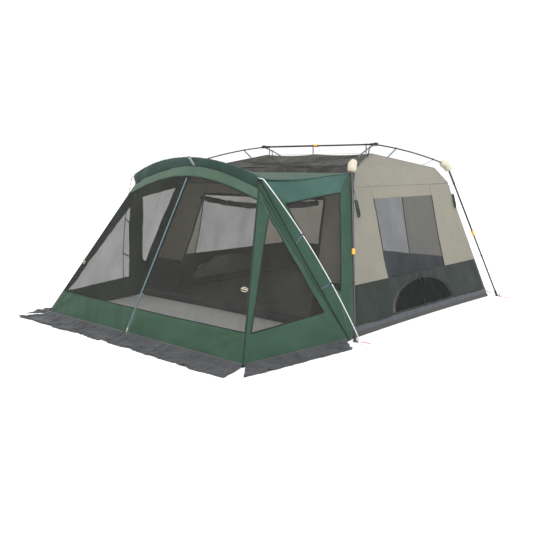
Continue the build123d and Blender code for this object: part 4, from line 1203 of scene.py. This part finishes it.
def make_skirts():
    """The ground skirt: wrinkled strips that lie on the ground round the porch."""
    parts = []
    inner_front = FRONT_Y - 0.004
    for side, _ in SIDES:
        start = ZIP_FOOT + side * 0.008
        count = 110
        t = np.linspace(0, 1, count)
        inner = np.stack([start + (side * 1.764 - start) * t, np.full(count, inner_front + 0.012),
                          np.full(count, 0.036)], -1)
        edge = np.stack([start + (side * 1.872 - start) * t, SKIRT_LOW[1] + 0.024 * (1 - t), np.zeros(count)],
                        -1)
        edge[:, 1] += 0.012 * ripple(edge, 130 + side, 0.35, 3)
        parts.append((inner, edge, 140 + side))
        count = 90
        t = np.linspace(0, 1, count)
        inner = line((side * 1.778, FRONT_Y + 0.030, 0.036), (side * 1.930, CABIN_Y - 1.862, 0.030), count)
        edge = line((side * 2.008, CABIN_Y - 3.515, 0), (side * 2.176, CABIN_Y - 2.072, 0), count)
        edge[:, 0] += side * 0.010 * (ripple(edge, 150 + side, 0.35, 3) - 1)
        parts.append((inner, edge, 160 + side))
    for index, (inner, edge, seed) in enumerate(parts):
        rows = 15
        v = np.linspace(0, 1, rows)
        grid = inner[None] * (1 - v[:, None, None]) + edge[None] * v[:, None, None]
        height = 0.036 * np.clip(1 - v * 3.2, 0, 1) ** 1.6
        flat = grid.reshape(-1, 3)
        waves = ripple(flat * (1, 1, 0), seed, 0.22,
                       3) + 0.8 * ripple(flat * (1.8, 0.5, 0), seed + 7, 0.12, 2)
        loft = np.repeat(height, grid.shape[1])
        fold = 0.013 * np.clip(waves + 0.35, 0, 2.2) * np.repeat(clamp_fade(v, 0.2), grid.shape[1])
        flat[:, 2] = 0.0022 + loft + fold
        name = f"skirt_{index + 1}"
        obj = cloth_piece(name, [flat.reshape(grid.shape)], SKIRT, None, (0, 0, 1), nodes=("porch_skirts",),
                          slot="skirt_cloth", sheet=False)
        depth = float(np.linalg.norm((edge - inner)[len(edge) // 2]))


make_porch_top()
make_doors()
for side, word in SIDES:
    make_porch_side(side, word)
make_skirts()

# ---------------------------------------------------------------- soft trim on the frame


def leg_axis(side, end):
    """A leg's foot and top."""
    flip = np.array([side, end, 1])
    shift = np.array([0, CABIN_Y, 0])
    return LEG_FOOT * flip + shift, LEG_TOP * flip + shift


def bezier(points, count):
    """A smooth curve through a run of control points."""
    points = np.asarray(points, float)
    t = np.linspace(0, 1, count)
    order = len(points) - 1
    weights = [math.comb(order, i) * t**i * (1 - t) ** (order - i) for i in range(order + 1)]
    return sum(w[:, None] * p for w, p in zip(weights, points))


def make_pads():
    """The fleece sleeves over the knuckles."""
    for end, end_word in ENDS:
        for side, side_word in SIDES:
            foot, top = leg_axis(side, end)
            hub = np.array([side * 1.013, CABIN_Y, HUB_Z])
            inward = (hub - top) / np.linalg.norm(hub - top)
            down = (foot - top) / np.linalg.norm(foot - top)
            path = bezier([top + inward * 0.115, top + inward * 0.03, top + down * 0.02, top + down * 0.095],
                          40)
            t = np.linspace(-1, 1, 40)
            radii = 0.046 * np.clip(1 - np.abs(t) ** 7, 0, 1) ** 0.5 + 0.004
            points, faces = tube(path, radii, 32, 1.0, (side * 0.3, end * 0.2, 1))
            centre = np.repeat(path, 32, axis=0)
            away = points - centre
            swell = 0.07 * ripple(points, 170 + side + 2 * end, 0.05, 3)
            points = centre + away * (1 + swell)[:, None]
            obj = mesh_object(f"{end_word}_{side_word}_pad", points, faces, FLEECE)
            finish_piece(obj, "root", ("knuckle_pads",), "cream_fleece")


def make_foot_straps():
    """Webbing from each floor corner to its foot, following the floor at one end and the leg at the other."""
    for end, end_word in ENDS:
        for side, side_word in SIDES:
            foot, _ = leg_axis(side, end)
            start = wall_corner(side, end, 0.085) + np.array([side * 0.004, end * 0.004, 0])
            stop = foot + np.array([side * 0.012, end * 0.004,
                                    0.014]) - np.array([side * 0.028, end * 0.028, 0])
            path = line(start, stop, 22)
            path[:, 2] -= 0.012 * np.sin(np.linspace(0, math.pi, 22))
            points, faces = tape(path, (-side * 0.3, end * 0.3, 1), 0.020, 0.0012)
            obj = mesh_object(f"{end_word}_{side_word}_foot_strap", points, faces, WEBBING)
            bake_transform(obj)


def hank_route(node):
    """The guy rope's route: long turns with round ends, nipped in at the tie, then a short tail."""
    low, high = box(node)
    centre = (low + high) / 2
    tall = (high[2] - low[2]) / 2 - 0.014
    turns = 7
    flat = [(0.004, tall + 0.004, 0.0), (0.011, tall * 0.55, 0.0)]
    for turn in range(turns):
        layer = (turn / (turns - 1) - 0.5) * 0.016
        bend = 0.0165 + 0.0008 * ((turn * 3) % turns)
        reach = tall - bend - 0.0020 * ((turn * 5) % turns)
        flat.append((bend * 0.80, 0.0, layer))
        flat += [(bend * math.cos(a), -reach + bend * math.sin(a),
                  layer) for a in np.linspace(0, -math.pi, 6)]
        flat.append((-bend * 0.80, 0.0, layer))
        flat += [(bend * math.cos(a), reach + bend * math.sin(a), layer) for a in np.linspace(math.pi, 0, 6)]
    flat.append((0.017, 0.0, 0.010))
    flat.append((0.024, -0.055, 0.011))
    return np.array([centre + np.array([-SIDE_LEAN * z + x, y, z]) for y, z, x in flat])


def make_hanks():
    """The guy ropes, each folded into a hank at an eave corner, with its tie and its hanging loop."""
    for end, end_word in ENDS:
        node = f"{end_word}_guy_hank"
        route = hank_route(node)
        curve = bpy.data.curves.new(f"{end_word}_guy_rope", "CURVE")
        curve.dimensions = "3D"
        curve.resolution_u = 6
        spline = curve.splines.new("NURBS")
        spline.points.add(len(route) - 1)
        for point, place in zip(spline.points, route):
            point.co = (*place, 1)
        spline.order_u = 3
        spline.use_endpoint_u = True
        guide = bpy.data.objects.new("guide", curve)
        curve.bevel_depth = 0
        bpy.context.scene.collection.objects.link(guide)
        mesh = bpy.data.meshes.new_from_object(guide)
        path = np.array([v.co[:] for v in mesh.vertices])
        bpy.data.objects.remove(guide)
        rope = tubes_object(f"{end_word}_guy_rope", [tube(path, 0.002, 10)], GUY_CORD)
        finish_piece(rope, "root", (node,), "rope")
        low, high = box(node)
        centre = (low + high) / 2
        half_y = (high[1] - low[1]) / 2
        angles = np.linspace(0, 2 * math.pi, 30)
        ties = []
        for height in (-0.004, 0.0, 0.004, 0.008):
            middle = centre + np.array([-SIDE_LEAN, 0, 1]) * height
            loop = middle + np.stack([0.0135 * np.cos(angles), half_y * 0.62 * np.sin(angles), 0 * angles],
                                     -1)
            ties.append(tube(loop, 0.0021, 8, caps=False))
        obj = tubes_object(f"{end_word}_hank_tie", ties, GUY_CORD)
        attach(obj, "root")
        anchor = wall_corner(1, end, EAVE - 0.03)
        loop = bezier([anchor, anchor + (0.03, 0, -0.06), route[0] + (0.012, 0, 0.05),
                       route[0] + (0.002, 0, -0.004)], 20)
        obj = tubes_object(f"{end_word}_hank_loop", [tape(loop, (1, 0, 0.3), 0.008, 0.0012)], WEBBING)
        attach(obj, "root")


make_pads()
make_foot_straps()
make_hanks()

# ---------------------------------------------------------------- finishes of the CAD pieces

FINISH = {
    "upper_legs": BLACK_TUBE,
    "ridge_outer_tube": BLACK_TUBE,
    "ridge_inner_tube": BLACK_TUBE,
    "roof_poles": BLACK_TUBE,
    "lock_collars": ORANGE_PLASTIC,
    "roof_hubs": BLACK_PLASTIC,
    "knuckle_brackets": BLACK_PLASTIC,
    "pole_clips": BLACK_PLASTIC,
    "hanging_straps": WEBBING,
    "ground_pegs": RED_PLASTIC,
    "porch_hoop": HOOP_ROD,
    "ridge_button": GREY_PLASTIC,
    "zip_slider": PALE_METAL,
    "right_door_toggle": CREAM_CORD,
    "left_door_toggle": CREAM_CORD,
}
for _, end_word in ENDS:
    for _, side_word in SIDES:
        FINISH[f"{end_word}_{side_word}_lower_leg"] = BLACK_TUBE
        FINISH[f"{end_word}_{side_word}_foot"] = BLACK_PLASTIC
        FINISH[f"{end_word}_{side_word}_button"] = GREY_PLASTIC
for node, material in FINISH.items():
    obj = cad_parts[node]
    for slot in obj.material_slots:
        slot.material = material

# ---------------------------------------------------------------- floor, light and camera


EYE = (6.156, CABIN_Y - 7.731, 1.900)
TILT = math.pi / 2 - 0.148
TURN = 0.744
LENS = 45.93
FLOOR_REACH = 60
FLOOR_DROP = 0.001


def make_stage():
    """A plain pale floor, soft studio light and the camera."""
    material, nodes, links, shader = new_material("studio floor")
    place = nodes.new("ShaderNodeTexCoord").outputs["Object"]
    tone = noise_node(nodes, links, place, 0.6, 3.0)
    links.new(mix_colour(nodes, links, tone, (0.86, 0.86, 0.86), (0.90, 0.90, 0.90)),
              shader.inputs["Base Color"])
    shader.inputs["Roughness"].default_value = 0.9
    turns = ((-1, -1), (1, -1), (1, 1), (-1, 1))
    corners = [(x * FLOOR_REACH, y * FLOOR_REACH, -FLOOR_DROP) for x, y in turns]
    floor = mesh_object("studio_floor", corners, [(0, 1, 2, 3)], material)
    floor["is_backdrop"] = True
    world = bpy.data.worlds.new("studio")
    world.use_nodes = True
    world.node_tree.nodes["Background"].inputs["Color"].default_value = (1.0, 1.0, 1.0, 1)
    world.node_tree.nodes["Background"].inputs["Strength"].default_value = 1.05
    bpy.context.scene.world = world
    sun = bpy.data.lights.new("key", "SUN")
    sun.energy = 3.0
    sun.angle = math.radians(24)
    key = bpy.data.objects.new("key", sun)
    key.rotation_euler = (math.radians(38), math.radians(24), math.radians(20))
    bpy.context.scene.collection.objects.link(key)
    camera = bpy.data.cameras.new("camera")
    camera.lens = LENS
    camera.sensor_width = 36
    eye = bpy.data.objects.new("camera", camera)
    eye.location = EYE
    eye.rotation_euler = (TILT, 0, TURN)
    bpy.context.scene.collection.objects.link(eye)
    bpy.context.scene.camera = eye
    bpy.context.scene.view_settings.view_transform = "Standard"


make_stage()
boxes = {"cad": cad_box, "visual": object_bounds()}
{name: [list(map(float, corner)) for corner in ends] for name, ends in boxes.items()}
